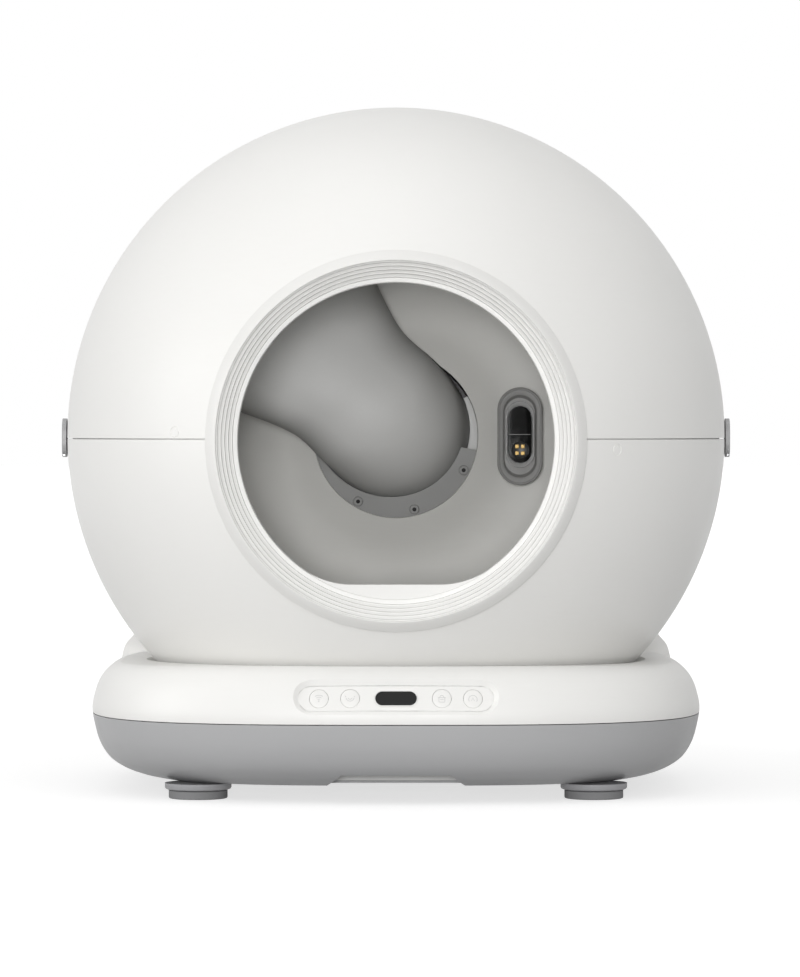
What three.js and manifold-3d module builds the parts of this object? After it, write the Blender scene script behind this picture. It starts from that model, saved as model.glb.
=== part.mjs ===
// Self cleaning litter box: a globe on a low base, with a turning litter drum inside.
// Millimetres, +Z up. The front, with the entry ring, faces -Y. The origin lies on the
// floor under the middle of the base. The drum turns about a front-to-back axis.

import * as THREE from 'three';
import { mergeVertices } from 'three/addons/utils/BufferGeometryUtils.js';
import Module from 'manifold-3d';

const wasm = await Module();
wasm.setup();

// Clearances shared by all pieces
const SEAT = 0.3; // gap between pieces that rest on each other
const RUN = 0.4; // gap round what turns or slides
const OVERRUN = 20; // how far a cutting shape runs past its wall

// Numbers of facets
const GLOBE_STEPS = 36;
const ROUND_STEPS = 28;
const BODY_STEPS = 28;
const CORE_BODY_STEPS = 20;
const SMALL_STEPS = 14;
const PIN_STEPS = 8;
const FOOT_STEPS = 14;
const PROFILE_STEPS = 11;
const CORE_STEPS = 6;
const DRUM_STEPS = 9;
const CRADLE_STEPS = 24;
const BUTTON_STEPS = 6;
const END_STEPS = 5; // round end of a stadium outline

// Globe
const GLOBE_RADIUS = 280;
const GLOBE_WALL = 3;
const GLOBE_HEIGHT = 296; // centre above the floor
const GLOBE_SETBACK = -8; // centre along Y
const SEAM_DROP = 2; // seam below the centre
const SEAM_GAP = 0.6;
const GLOBE_BACK_FILLET = 16;
const GLOBE_FOOT_HEIGHT = 73.3; // flat bottom above the floor
const GLOBE_BACK_HOLE = 80;

// Entry ring
const RING_RADIUS = 153.2;
const RING_SPIGOT = 149.6;
const RING_PROUD = 10.63; // front of the band before the globe's skin at its edge
const RING_BAND = 8.8;
const RING_DEPTH = 19; // from the band back to the throat
const RING_THROAT = 127.5;
const RING_TUBE = 14;
const RING_WALL = 3;
const RING_DROP = 3.4;
const RING_RIBS = 5;
const RING_RIB_HEIGHT = 1.1;
const SILL_DROP = 115.7;
const SILL_BLEND = 26;

// Drum
const DRUM_WALL = 2.5;
const DRUM_GLOBE_GAP = 68; // between the drum's and the globe's radius
const DRUM_MOUTH = 150;
const DRUM_RING_GAP = 6; // behind the entry ring's tube
const DRUM_TRACK = 14; // length of the roller track behind the mouth
const DRUM_BACK_GAP = 86; // from the back wall's deepest place to the globe's flat back
const HUB_BORE = 72;
const HUB_WALL = 3;
const HUB_DISH = 19; // the hub's front edge before the back wall's deepest place
const HUB_PAST = 8; // the hub's end behind the globe's flat back

// Waste chute
const CHUTE_WALL = 2.5;
const CHUTE_TUBE = 64.3;
const CHUTE_RISE = 6.6; // its tube above the hub's axis
const CHUTE_LEAN = 134; // direction of the lobe, degrees from +X
const CHUTE_MOUTH_GAP = 64; // from the lobe's open end to the drum's wall
const CHUTE_WIDE = 96;
const CHUTE_THIN = 50;
const CHUTE_TILT = 24;
const CHUTE_GAP = 1;

// Crescent flange round the chute
const FLANGE_THICK = 3;
const FLANGE_INSET = 4;
const FLANGE_START_ANGLE = -172;
const FLANGE_END_ANGLE = -10;
const BOSS_RADIUS = 4.2;
const BOSS_HEIGHT = 3;
const BOSS_CIRCLE = 66.4;
const BOSS_ANGLES = [-120, -76, -27];
const SCREW_RADIUS = 2.4;
const SCREW_HEAD = 1.6;

// Sieve
const SIEVE_HEIGHT = 60; // from the drum's wall inwards
const SIEVE_THICK = 3;
const SIEVE_FRONT = 150;
const SIEVE_BACK = 60;
const SIEVE_ANGLE = 196;
const SIEVE_SLOT = 8;
const SIEVE_BAR = 6;
const SIEVE_EDGE = 8;

// Drive
const GEAR_MODULE = 4.5;
const GEAR_TEETH = 40;
const PINION_TEETH = 8;
const GEAR_WIDTH = 11;
const GEAR_BACK_GAP = 20; // from the gear's front to the globe's flat back
const MESH_SLACK = 0.6;
const PINION_ANGLE = -18; // a whole number of ring gear teeth
const PINION_SHAFT = 3;
const MOTOR_RADIUS = 16;
const MOTOR_LENGTH = 34;
const GEARBOX_SIDE = 38;
const GEARBOX_LENGTH = 10;
const BEARING_RIM = 6;
const BEARING_WIDTH = 7;

// Rollers
const ROLLER_RADIUS = 12;
const ROLLER_WIDTH = 11;
const ROLLER_AXLE = 3;
const ROLLER_ANGLE = 38; // from straight down
const BRACKET_THICK = 3;
const BRACKET_WIDTH = 18;

// Sensor module
const SENSOR_X = 108.4;
const SENSOR_DROP = 1.3;
const SENSOR_WIDTH = 39.3;
const SENSOR_HEIGHT = 85.7;
const SENSOR_SINK = 1; // behind the hub's front edge
const SENSOR_DEEP = 30;
const SENSOR_POCKET_WIDTH = 28;
const SENSOR_POCKET_HEIGHT = 71;
const SENSOR_POCKET_DEEP = 3;
const BEZEL_WIDTH = 25.4;
const BEZEL_HEIGHT = 58.3;
const BEZEL_THICK = 2.4;
const LENS_WIDTH = 20.1;
const LENS_HEIGHT = 49.4;
const LENS_THICK = 1.6;
const CONTACT_DROP = 13.4; // below the middle of the lens
const CONTACT_WELL = 7.9;
const CONTACT_SIDE = 3.4;
const CONTACT_PITCH = 5;
const CONTACT_PROUD = 0.5;

// Base
const BASE_HALF_WIDTH = 256.3;
const BASE_HALF_DEPTH = 253;
const BASE_BOTTOM = 13;
const BASE_WALL = 3;
const SPLIT_HEIGHT = 65;
const SPLIT_GAP = 0.5;
const RIM_HEIGHT = 106;
const RIM_FRONT_RISE = 5;
const CRADLE_GAP = 5;
const BASE_CORNER = 3.1; // superellipse power of the plan
const TOWER_TOP = 392;
const TOWER_HALF_WIDTH = 246;
const TOWER_DEPTH = 53; // wall behind the globe to the back
const TOWER_WALL_GAP = 3; // between the globe's flat back and the tower
const TOWER_CORNER = 4;

// Waste guide inside the tower
const GUIDE_HALF_WIDTH = 82;
const GUIDE_WALL = 2;
const GUIDE_BOTTOM = 67;
const GUIDE_MOUTH = 67;

// Drawer
const DRAWER_SEAM = -120; // where the moving front ends along Y
const DRAWER_GAP = 0.5;
const TRAY_HALF_WIDTH = 150;
const TRAY_SETBACK = 63; // behind the base's front
const TRAY_WALL = 2.5;
const TRAY_TOP = 62;
const TRAY_LIP_HALF_WIDTH = 118;
const TRAY_LIP_HEIGHT = 16;
const RAIL_HEIGHT = 10;
const RAIL_WIDTH = 4;
const RAIL_HALF_LENGTH = 150;
const GRIP_TOP_HALF = 44;
const GRIP_BOTTOM_HALF = 56;
const GRIP_HEIGHT = 10.3;
const GRIP_DEEP = 30;
const FILTER_WIDTH = 90;
const FILTER_THICK = 12;
const FILTER_HEIGHT = 34;

// Control panel
const PANEL_WIDTH = 162;
const PANEL_HEIGHT = 31.3;
const PANEL_THICK = 3.6;
const PANEL_EDGE = 0.5; // level edge round the recess
const PANEL_SINK = 1.8; // depth of the recess
const PANEL_FLOOR_WIDTH = 156.6;
const PANEL_FLOOR_HEIGHT = 21.5;
const PANEL_CENTRE = 87; // height above the floor
const PANEL_LEAN = 20;
const PANEL_PROUD = 0.4;
const BUTTON_RADIUS = 7.8;
const BUTTON_PLACES = [-61.8, -36.8, 36.8, 61.7];
const BUTTON_LENGTH = 5;
const BUTTON_TRAVEL = 1;
const DISPLAY_WIDTH = 32.5;
const DISPLAY_HEIGHT = 11.2;
const DISPLAY_THICK = 2;
const BOARD_WIDTH = 138;
const BOARD_HEIGHT = 22;
const BOARD_THICK = 1.6;
const STANDOFF_RADIUS = 2.5;
const STANDOFF_PLACE = 49.3;

// Feet
const FOOT_PLACE_X = 162;
const FOOT_PLACE_Y = 165;
const FOOT_FLANGE_RADIUS = 27.6;
const FOOT_FLANGE_HEIGHT = 5.7;
const FOOT_PAD_RADIUS = 24.4;
const FOOT_PAD_HEIGHT = 6.7;

// Side latches
const LATCH_PROUD = 4; // outer face before the globe's side
const LATCH_THICK = 3.7;
const LATCH_WIDTH = 24;
const LATCH_TOP = 17;
const LATCH_PIVOT_DROP = 14; // below the seam
const LATCH_TAIL = 1.9;
const LATCH_PIN = 0.95;
const LATCH_PIN_GAP = 0.3;
const KNUCKLE_WIDTH = 11;
const KNUCKLE_RADIUS = 1.75;
const LATCH_CHAMFER = 1.6;

// Power inlet and main board
const INLET_X = 150;
const INLET_HEIGHT = 96;
const INLET_RADIUS = 5.5;
const INLET_BORE = 3;
const INLET_LENGTH = 14;
const MAIN_BOARD_X = -122;
const MAIN_BOARD_WIDTH = 62;
const MAIN_BOARD_HEIGHT = 96;
const MAIN_BOARD_BOTTOM = 120;
const MAIN_BOARD_STAND = 25;

// Places that follow from the sizes above
const globeBack = BASE_HALF_DEPTH - TOWER_DEPTH - TOWER_WALL_GAP - GLOBE_SETBACK;
const globeFootDrop = GLOBE_HEIGHT - GLOBE_FOOT_HEIGHT;
const ringFront = Math.sqrt(GLOBE_RADIUS ** 2 - RING_RADIUS ** 2) + RING_PROUD;
const drumRadius = GLOBE_RADIUS - DRUM_GLOBE_GAP;
const drumFront = ringFront - RING_DEPTH - RING_TUBE - DRUM_RING_GAP;
const drumDish = globeBack - DRUM_BACK_GAP;
const hubEdge = drumDish - HUB_DISH;
const hubEnd = globeBack + HUB_PAST;
const gearFront = globeBack - GEAR_BACK_GAP;
const chuteReach = drumRadius - CHUTE_MOUTH_GAP;
const sieveInner = drumRadius - SIEVE_HEIGHT;
const sensorFront = hubEdge + SENSOR_SINK;
const latchOut = GLOBE_RADIUS + LATCH_PROUD;
const trayFront = TRAY_SETBACK - BASE_HALF_DEPTH;

// Section shares of the base from its bottom to its rim: height, width, depth
const BASE_SHARES = [
  [0, 0.81, 0.81],
  [0.03, 0.855, 0.855],
  [0.085, 0.905, 0.905],
  [0.17, 0.947, 0.947],
  [0.3, 0.976, 0.976],
  [0.45, 0.992, 0.992],
  [0.6, 1, 1],
  [0.72, 0.993, 0.992],
  [0.85, 0.976, 0.975],
  [0.94, 0.951, 0.95],
  [0.98, 0.93, 0.932],
  [1, 0.908, 0.918],
];
// Section shares of the tower: height above the split, half width, front edge towards the back
const TOWER_SHARES = [
  [0, 1, 0.3],
  [0.13, 0.995, 0.42],
  [0.18, 0.958, 0.55],
  [0.36, 0.87, 0.69],
  [0.56, 0.75, 0.75],
  [0.78, 0.6, 0.77],
  [0.92, 0.47, 0.785],
  [0.985, 0.36, 0.8],
  [1, 0.28, 0.81],
];
// Points of the drum's inner profile: radius share, share of the way from mouth to dish
const DRUM_PROFILE_SHARES = [
  [0.8, 0.08],
  [0.9, 0.19],
  [0.97, 0.34],
  [1, 0.53],
  [0.985, 0.69],
  [0.93, 0.83],
  [0.84, 0.92],
  [0.73, 0.975],
  [0.6, 1],
  [0.48, 0.99],
];
// Stations of the chute's lobe: reach, place behind the centre, half width, half thickness
const CHUTE_SHARES = [
  [0, 1.34, 0.672, 1.29],
  [0.053, 1.1, 0.68, 1.22],
  [0.192, 0.92, 0.68, 1.12],
  [0.405, 0.85, 0.7, 1.04],
  [0.705, 0.775, 0.88, 1],
  [1, 0.64, 1.1, 1],
];

const rad = THREE.MathUtils.degToRad;

// Radius of a faceted hole whose flats clear a round piece, and of a faceted piece in a faceted hole
const holeRound = (radius, gap, steps) => (radius + gap) / Math.cos(Math.PI / steps);
const plugIn = (radius, gap, steps) => radius * Math.cos(Math.PI / steps) - gap;

// Shape helpers

// Closed mesh with merged corners, no empty triangles, and its faces pointing out
function closed(geometry) {
  const bare = geometry.index ? geometry.clone() : mergeVertices(geometry);
  bare.deleteAttribute('normal');
  bare.deleteAttribute('uv');
  const merged = mergeVertices(bare, 1e-4);
  const at = merged.attributes.position;
  const source = merged.index.array;
  const kept = [];
  let volume = 0;
  const a = new THREE.Vector3();
  const b = new THREE.Vector3();
  const c = new THREE.Vector3();
  for (let i = 0; i < source.length; i += 3) {
    const [p, q, r] = [source[i], source[i + 1], source[i + 2]];
    if (p === q || q === r || r === p) continue;
    kept.push(p, q, r);
    a.fromBufferAttribute(at, p);
    b.fromBufferAttribute(at, q);
    c.fromBufferAttribute(at, r);
    volume += a.dot(b.cross(c));
  }
  if (volume < 0) kept.reverse();
  merged.setIndex(kept);
  return merged;
}

function solid(geometry, matrix = new THREE.Matrix4()) {
  const mesh = closed(geometry.clone().applyMatrix4(matrix));
  return new wasm.Manifold(new wasm.Mesh({
    numProp: 3,
    vertProperties: new Float32Array(mesh.attributes.position.array),
    triVerts: new Uint32Array(mesh.index.array),
  }));
}

function geometryOf(manifold) {
  const mesh = manifold.getMesh();
  const geometry = new THREE.BufferGeometry();
  geometry.setAttribute('position', new THREE.BufferAttribute(mesh.vertProperties, 3));
  geometry.setIndex(new THREE.BufferAttribute(mesh.triVerts, 1));
  return geometry;
}

function move(x, y, z) {
  return new THREE.Matrix4().makeTranslation(x, y, z);
}

// Turned body about the Y axis from points of radius and Y
function revolve(points, steps = ROUND_STEPS) {
  const profile = points.map(([radius, y]) => new THREE.Vector2(radius, y));
  const first = profile[0];
  const last = profile[profile.length - 1];
  if (first.x > 0 || last.x > 0) profile.push(first.clone());
  return new THREE.LatheGeometry(profile, steps);
}

// Disc or tube along Y between two places
function discY(radius, front, back, steps = SMALL_STEPS) {
  return revolve([[0, front], [radius, front], [radius, back], [0, back]], steps);
}

function tubeY(inner, outer, front, back, steps = SMALL_STEPS) {
  return revolve([[inner, front], [outer, front], [outer, back], [inner, back]], steps);
}

function box(low, high) {
  const size = high.map((value, axis) => value - low[axis]);
  const middle = high.map((value, axis) => (value + low[axis]) / 2);
  return new THREE.BoxGeometry(...size).translate(...middle);
}

// Skin through rings of points, closed by a fan at each end
function loft(rings) {
  const count = rings[0].length;
  const positions = [];
  const index = [];
  for (const ring of rings) for (const point of ring) positions.push(point.x, point.y, point.z);
  for (let i = 0; i < rings.length - 1; i += 1) {
    for (let k = 0; k < count; k += 1) {
      const here = i * count + k;
      const next = i * count + ((k + 1) % count);
      index.push(here, next, here + count, next, next + count, here + count);
    }
  }
  for (const end of [0, rings.length - 1]) {
    const middle = positions.length / 3;
    const centre = new THREE.Vector3();
    for (const point of rings[end]) centre.addScaledVector(point, 1 / count);
    positions.push(centre.x, centre.y, centre.z);
    for (let k = 0; k < count; k += 1) {
      const here = end * count + k;
      const next = end * count + ((k + 1) % count);
      if (end === 0) index.push(middle, next, here);
      else index.push(middle, here, next);
    }
  }
  const geometry = new THREE.BufferGeometry();
  geometry.setAttribute('position', new THREE.Float32BufferAttribute(positions, 3));
  geometry.setIndex(index);
  return geometry;
}

function superellipse(halfWidth, halfDepth, power, steps) {
  const points = [];
  for (let k = 0; k < steps; k += 1) {
    const turn = (2 * Math.PI * (k + 0.5)) / steps;
    const cos = Math.cos(turn);
    const sin = Math.sin(turn);
    points.push(new THREE.Vector2(
      halfWidth * Math.sign(cos) * Math.abs(cos) ** (2 / power),
      halfDepth * Math.sign(sin) * Math.abs(sin) ** (2 / power),
    ));
  }
  return points;
}

// Outline with straight sides and round ends, long way along X or Y
function stadium(width, height) {
  const radius = Math.min(width, height) / 2;
  const reachX = width / 2 - radius;
  const reachY = height / 2 - radius;
  const shape = new THREE.Shape();
  if (width >= height) {
    shape.absarc(reachX, 0, radius, -Math.PI / 2, Math.PI / 2);
    shape.absarc(-reachX, 0, radius, Math.PI / 2, (3 * Math.PI) / 2);
  } else {
    shape.absarc(0, reachY, radius, 0, Math.PI);
    shape.absarc(0, -reachY, radius, Math.PI, 2 * Math.PI);
  }
  return shape;
}

// Flat shape extruded backwards along Y from a front plane; shape X is X, shape Y is Z
function plateY(shape, front, thick, curveSegments = END_STEPS) {
  const geometry = new THREE.ExtrudeGeometry(shape, { depth: thick, bevelEnabled: false, curveSegments });
  return geometry.rotateX(Math.PI / 2).translate(0, front + thick, 0);
}

// Base

const rimRange = RIM_HEIGHT - BASE_BOTTOM;

// Every section for the outside, every second one and the last for a core
function sections(shares, inset) {
  if (inset <= 0) return shares;
  return shares.filter((_, i) => i % 2 === 0 || i === shares.length - 1);
}

const bodySteps = (inset) => (inset > 0 ? CORE_BODY_STEPS : BODY_STEPS);

// Solid of the base's outer form, drawn in by a wall where it is used as a core
function baseForm(inset = 0, raise = inset, lower = inset) {
  const rings = sections(BASE_SHARES, inset).map(([height, width, depth]) => {
    const halfWidth = BASE_HALF_WIDTH * width - inset;
    const halfDepth = BASE_HALF_DEPTH * depth - inset;
    return superellipse(halfWidth, halfDepth, BASE_CORNER, bodySteps(inset)).map((point) => {
      const front = Math.max(0, -point.y / halfDepth);
      const top = rimRange + RIM_FRONT_RISE * front * front;
      const level = BASE_BOTTOM + raise + (top - raise - lower) * height;
      return new THREE.Vector3(point.x, point.y, level);
    });
  });
  return loft(rings);
}

// Solid of the rear tower that rises behind the globe
function towerForm(inset = 0) {
  const rings = sections(TOWER_SHARES, inset).map(([height, width, front]) => {
    const halfWidth = TOWER_HALF_WIDTH * width - inset;
    const frontY = BASE_HALF_DEPTH * front + inset;
    const backY = BASE_HALF_DEPTH - inset;
    const halfDepth = (backY - frontY) / 2;
    const level = SPLIT_HEIGHT + (TOWER_TOP - SPLIT_HEIGHT) * height - (height === 1 ? inset : 0);
    return superellipse(halfWidth, halfDepth, TOWER_CORNER, bodySteps(inset))
      .map((point) => new THREE.Vector3(point.x, point.y + (backY + frontY) / 2, level));
  });
  const plan = superellipse(
    BASE_HALF_WIDTH - inset,
    BASE_HALF_DEPTH - inset,
    BASE_CORNER,
    bodySteps(inset),
  );
  const prism = [0, TOWER_TOP * 2].map((level) => (
    plan.map((point) => new THREE.Vector3(point.x, point.y, level))
  ));
  return solid(loft(rings)).intersect(solid(loft(prism)));
}

const globePlace = move(0, GLOBE_SETBACK, GLOBE_HEIGHT);
const towerFace = GLOBE_SETBACK + globeBack + TOWER_WALL_GAP;
const cradleFloor = GLOBE_HEIGHT - globeFootDrop - SEAT;

// Space that the globe takes in the base, grown by a gap
function cradleSpace(gap, floor) {
  const radius = GLOBE_RADIUS + gap;
  const sphere = new THREE.SphereGeometry(radius, CRADLE_STEPS, CRADLE_STEPS / 2).rotateX(Math.PI / 2);
  const ball = solid(sphere, globePlace);
  const keep = solid(box(
    [-radius - OVERRUN, -radius - OVERRUN, floor],
    [radius + OVERRUN, towerFace + gap - CRADLE_GAP, TOWER_TOP * 2],
  ));
  return ball.intersect(keep);
}

const widest = BASE_HALF_WIDTH + OVERRUN;

function slab(low, high) {
  return solid(box([-widest, -widest, low], [widest, widest * 2, high]));
}

const pinionRange = (GEAR_MODULE * (GEAR_TEETH + PINION_TEETH)) / 2 + MESH_SLACK;
const pinionX = pinionRange * Math.cos(rad(PINION_ANGLE));
const pinionZ = pinionRange * Math.sin(rad(PINION_ANGLE));
const bearingBore = holeRound(HUB_BORE + HUB_WALL, RUN, ROUND_STEPS);
const bearingRadius = bearingBore + BEARING_RIM;

const panelY = -(BASE_HALF_DEPTH * 0.983);
const panelPlace = new THREE.Matrix4()
  .makeRotationX(rad(-PANEL_LEAN))
  .setPosition(0, panelY, PANEL_CENTRE);

function makeBaseUpper() {
  const low = slab(SPLIT_HEIGHT + SPLIT_GAP / 2, TOWER_TOP * 2);
  const outer = solid(baseForm()).add(towerForm()).intersect(low);
  const core = solid(baseForm(BASE_WALL)).add(towerForm(BASE_WALL));
  const cradle = cradleSpace(CRADLE_GAP + BASE_WALL, cradleFloor - BASE_WALL);
  const hollow = core.subtract(cradle);
  const panelHole = solid(
    plateY(stadium(PANEL_WIDTH + 2 * SEAT, PANEL_HEIGHT + 2 * SEAT), -OVERRUN, 2 * OVERRUN),
    panelPlace,
  );
  const hubHole = solid(
    discY(bearingRadius + SEAT, towerFace - GLOBE_SETBACK - OVERRUN, hubEnd + OVERRUN / 2, ROUND_STEPS),
    globePlace,
  );
  const shaftHole = solid(
    discY(PINION_SHAFT + 2 * RUN, globeBack, hubEnd + OVERRUN / 2, PIN_STEPS),
    move(pinionX, GLOBE_SETBACK, GLOBE_HEIGHT + pinionZ),
  );
  const inletHole = solid(
    discY(INLET_RADIUS + SEAT, BASE_HALF_DEPTH - OVERRUN, BASE_HALF_DEPTH + OVERRUN, SMALL_STEPS),
    move(INLET_X, 0, INLET_HEIGHT),
  );
  return outer
    .subtract(cradleSpace(CRADLE_GAP, cradleFloor))
    .subtract(hollow)
    .subtract(panelHole)
    .subtract(hubHole)
    .subtract(shaftHole)
    .subtract(inletHole);
}

// Lower shell of the base with its floor pan, and the drawer front that is cut out of it
function lowerWall() {
  const below = slab(0, SPLIT_HEIGHT - SPLIT_GAP / 2);
  return solid(baseForm()).subtract(solid(baseForm(BASE_WALL, BASE_WALL, -OVERRUN))).intersect(below);
}

function panForm(grow) {
  const [, width, depth] = BASE_SHARES[0];
  const halfWidth = BASE_HALF_WIDTH * width - BASE_WALL + grow;
  const halfDepth = BASE_HALF_DEPTH * depth - BASE_WALL + grow;
  const plan = superellipse(halfWidth, halfDepth, BASE_CORNER, BODY_STEPS);
  const rings = [BASE_BOTTOM - (grow > 0 ? OVERRUN : 0), BASE_BOTTOM + BASE_WALL + grow]
    .map((level) => plan.map((point) => new THREE.Vector3(point.x, point.y, level)));
  return solid(loft(rings));
}

// Trapezoid finger recess in the front's lower edge
function gripForm(grow, front, back) {
  const shape = new THREE.Shape();
  shape.moveTo(-GRIP_BOTTOM_HALF - grow, -OVERRUN);
  shape.lineTo(GRIP_BOTTOM_HALF + grow, -OVERRUN);
  shape.lineTo(GRIP_BOTTOM_HALF + grow, 0);
  shape.lineTo(GRIP_TOP_HALF + grow, GRIP_HEIGHT + grow);
  shape.lineTo(-GRIP_TOP_HALF - grow, GRIP_HEIGHT + grow);
  shape.lineTo(-GRIP_BOTTOM_HALF - grow, 0);
  return solid(plateY(shape, front, back - front), move(0, 0, BASE_BOTTOM));
}

function makeBaseLower() {
  const rear = solid(box([-widest, DRAWER_SEAM + DRAWER_GAP / 2, 0], [widest, widest * 2, widest]));
  const panFront = -(BASE_HALF_DEPTH * BASE_SHARES[0][2]);
  let shell = lowerWall().intersect(rear).add(panForm(0));
  shell = shell.subtract(gripForm(BASE_WALL, panFront - OVERRUN, panFront + GRIP_DEEP));
  for (const side of [-1, 1]) {
    const inner = side * (TRAY_HALF_WIDTH + RUN);
    const outer = side * (TRAY_HALF_WIDTH + RUN + RAIL_WIDTH);
    const pan = BASE_BOTTOM + BASE_WALL;
    const rail = box(
      [Math.min(inner, outer), -RAIL_HALF_LENGTH, pan - BASE_WALL / 2],
      [Math.max(inner, outer), RAIL_HALF_LENGTH, pan + RAIL_HEIGHT],
    );
    shell = shell.add(solid(rail));
  }
  return shell;
}

function makeDrawerFront() {
  const front = solid(box([-widest, -widest, 0], [widest, DRAWER_SEAM - DRAWER_GAP / 2, widest]));
  return lowerWall()
    .intersect(front)
    .subtract(panForm(DRAWER_GAP))
    .subtract(gripForm(0, -widest, 0));
}

const trayBottom = BASE_BOTTOM + BASE_WALL + SEAT;

function makeDrawerTray() {
  const raise = trayBottom - BASE_BOTTOM;
  const outer = solid(box(
    [-TRAY_HALF_WIDTH, trayFront, trayBottom],
    [TRAY_HALF_WIDTH, widest, TRAY_TOP],
  )).intersect(solid(baseForm(BASE_WALL + 2 * RUN, raise, -OVERRUN)));
  const inner = solid(box(
    [-TRAY_HALF_WIDTH + TRAY_WALL, trayFront + TRAY_WALL, trayBottom + TRAY_WALL],
    [TRAY_HALF_WIDTH - TRAY_WALL, widest, TRAY_TOP + OVERRUN],
  )).intersect(solid(baseForm(BASE_WALL + 2 * RUN + TRAY_WALL, raise + TRAY_WALL, -OVERRUN)));
  const lip = solid(box(
    [-TRAY_LIP_HALF_WIDTH, -widest, TRAY_TOP - TRAY_LIP_HEIGHT],
    [TRAY_LIP_HALF_WIDTH, trayFront + TRAY_WALL / 2, TRAY_TOP],
  )).intersect(solid(baseForm(BASE_WALL + SEAT, BASE_WALL, -OVERRUN)));
  return outer.subtract(inner).add(lip);
}

function makeDrawerFilter() {
  const front = trayFront + TRAY_WALL + SEAT;
  const bottom = trayBottom + TRAY_WALL + SEAT;
  return box(
    [-FILTER_WIDTH / 2, front, bottom],
    [FILTER_WIDTH / 2, front + FILTER_THICK, bottom + FILTER_HEIGHT],
  );
}

// Drop duct behind the hub, shaped by the tower's inside
function makeWasteGuide() {
  const front = GLOBE_SETBACK + hubEnd + 2 * RUN;
  const top = GLOBE_HEIGHT + GUIDE_MOUTH + GUIDE_WALL * 2;
  const outer = solid(box(
    [-GUIDE_HALF_WIDTH, front, GUIDE_BOTTOM],
    [GUIDE_HALF_WIDTH, widest, top],
  )).intersect(towerForm(BASE_WALL + SEAT));
  const inner = solid(box(
    [-GUIDE_HALF_WIDTH + GUIDE_WALL, front + GUIDE_WALL, GUIDE_BOTTOM - OVERRUN],
    [GUIDE_HALF_WIDTH - GUIDE_WALL, widest, top - GUIDE_WALL],
  )).intersect(towerForm(BASE_WALL + SEAT + GUIDE_WALL).add(
    solid(box(
      [-GUIDE_HALF_WIDTH + GUIDE_WALL, front + GUIDE_WALL, 0],
      [GUIDE_HALF_WIDTH - GUIDE_WALL, BASE_HALF_DEPTH - 2 * BASE_WALL - GUIDE_WALL, GUIDE_BOTTOM + OVERRUN],
    )),
  ));
  const mouth = solid(discY(GUIDE_MOUTH, hubEnd - OVERRUN, hubEnd + OVERRUN / 2, ROUND_STEPS), globePlace);
  return outer.subtract(inner).subtract(mouth);
}

// Control panel, drawn flat and leaned back into the front of the base

const panelFloor = PANEL_SINK - PANEL_PROUD;
const boardFront = panelFloor + BUTTON_LENGTH + BUTTON_TRAVEL + SEAT;

// Recess whose walls slope in to its floor, carried on past the panel's face
function recessForm() {
  const widthSlope = (PANEL_WIDTH - 2 * PANEL_EDGE - PANEL_FLOOR_WIDTH) / PANEL_SINK;
  const heightSlope = (PANEL_HEIGHT - 2 * PANEL_EDGE - PANEL_FLOOR_HEIGHT) / PANEL_SINK;
  return loft([panelFloor, panelFloor - 2 * PANEL_SINK].map((level) => {
    const out = panelFloor - level;
    const outline = stadium(PANEL_FLOOR_WIDTH + widthSlope * out, PANEL_FLOOR_HEIGHT + heightSlope * out);
    return outline.getPoints(BUTTON_STEPS).slice(1).map((point) => new THREE.Vector3(point.x, level, point.y));
  }));
}

function makePanel() {
  const shape = stadium(PANEL_WIDTH, PANEL_HEIGHT);
  for (const place of BUTTON_PLACES) {
    const hole = new THREE.Path();
    hole.absarc(place, 0, holeRound(BUTTON_RADIUS, RUN, 2 * BUTTON_STEPS), 0, 2 * Math.PI);
    shape.holes.push(hole);
  }
  const window = stadium(DISPLAY_WIDTH + 2 * SEAT, DISPLAY_HEIGHT + 2 * SEAT);
  shape.holes.push(new THREE.Path(window.getPoints(END_STEPS)));
  let panel = solid(plateY(shape, -PANEL_PROUD, PANEL_THICK, BUTTON_STEPS)).subtract(solid(recessForm()));
  for (const side of [-1, 1]) {
    const standoff = discY(
      STANDOFF_RADIUS,
      PANEL_THICK - PANEL_PROUD - BASE_WALL / 2,
      boardFront - SEAT,
      PIN_STEPS,
    );
    panel = panel.add(solid(standoff, move(side * STANDOFF_PLACE, 0, 0)));
  }
  return panel;
}

// Globe

// Whole globe with its flat back, drawn in by an inset
function globeForm(inset, steps) {
  const radius = GLOBE_RADIUS - inset;
  const back = globeBack - inset;
  const fillet = GLOBE_BACK_FILLET - Math.max(inset, 0);
  const points = [];
  const filletCentreY = back - fillet;
  const filletCentreR = Math.sqrt((radius - fillet) ** 2 - filletCentreY ** 2);
  const end = Math.PI - Math.atan2(filletCentreR, filletCentreY);
  for (let i = 0; i <= steps; i += 1) {
    const turn = (end * i) / steps;
    points.push([radius * Math.sin(turn), -radius * Math.cos(turn)]);
  }
  const from = Math.atan2(filletCentreY, filletCentreR);
  for (let i = 1; i <= 3; i += 1) {
    const turn = from + ((Math.PI / 2 - from) * i) / 3;
    points.push([filletCentreR + fillet * Math.cos(turn), filletCentreY + fillet * Math.sin(turn)]);
  }
  points.push([0, back]);
  return solid(revolve(points, GLOBE_STEPS));
}

const ringHole = RING_SPIGOT + SEAT;
const reach = GLOBE_RADIUS + OVERRUN;

function globeShell() {
  const shell = globeForm(0, PROFILE_STEPS).subtract(globeForm(GLOBE_WALL, CORE_STEPS));
  const front = solid(discY(ringHole, -reach, 0, GLOBE_STEPS), move(0, 0, -RING_DROP));
  const back = solid(discY(GLOBE_BACK_HOLE, 0, reach, ROUND_STEPS));
  return shell.subtract(front).subtract(back);
}

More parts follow.
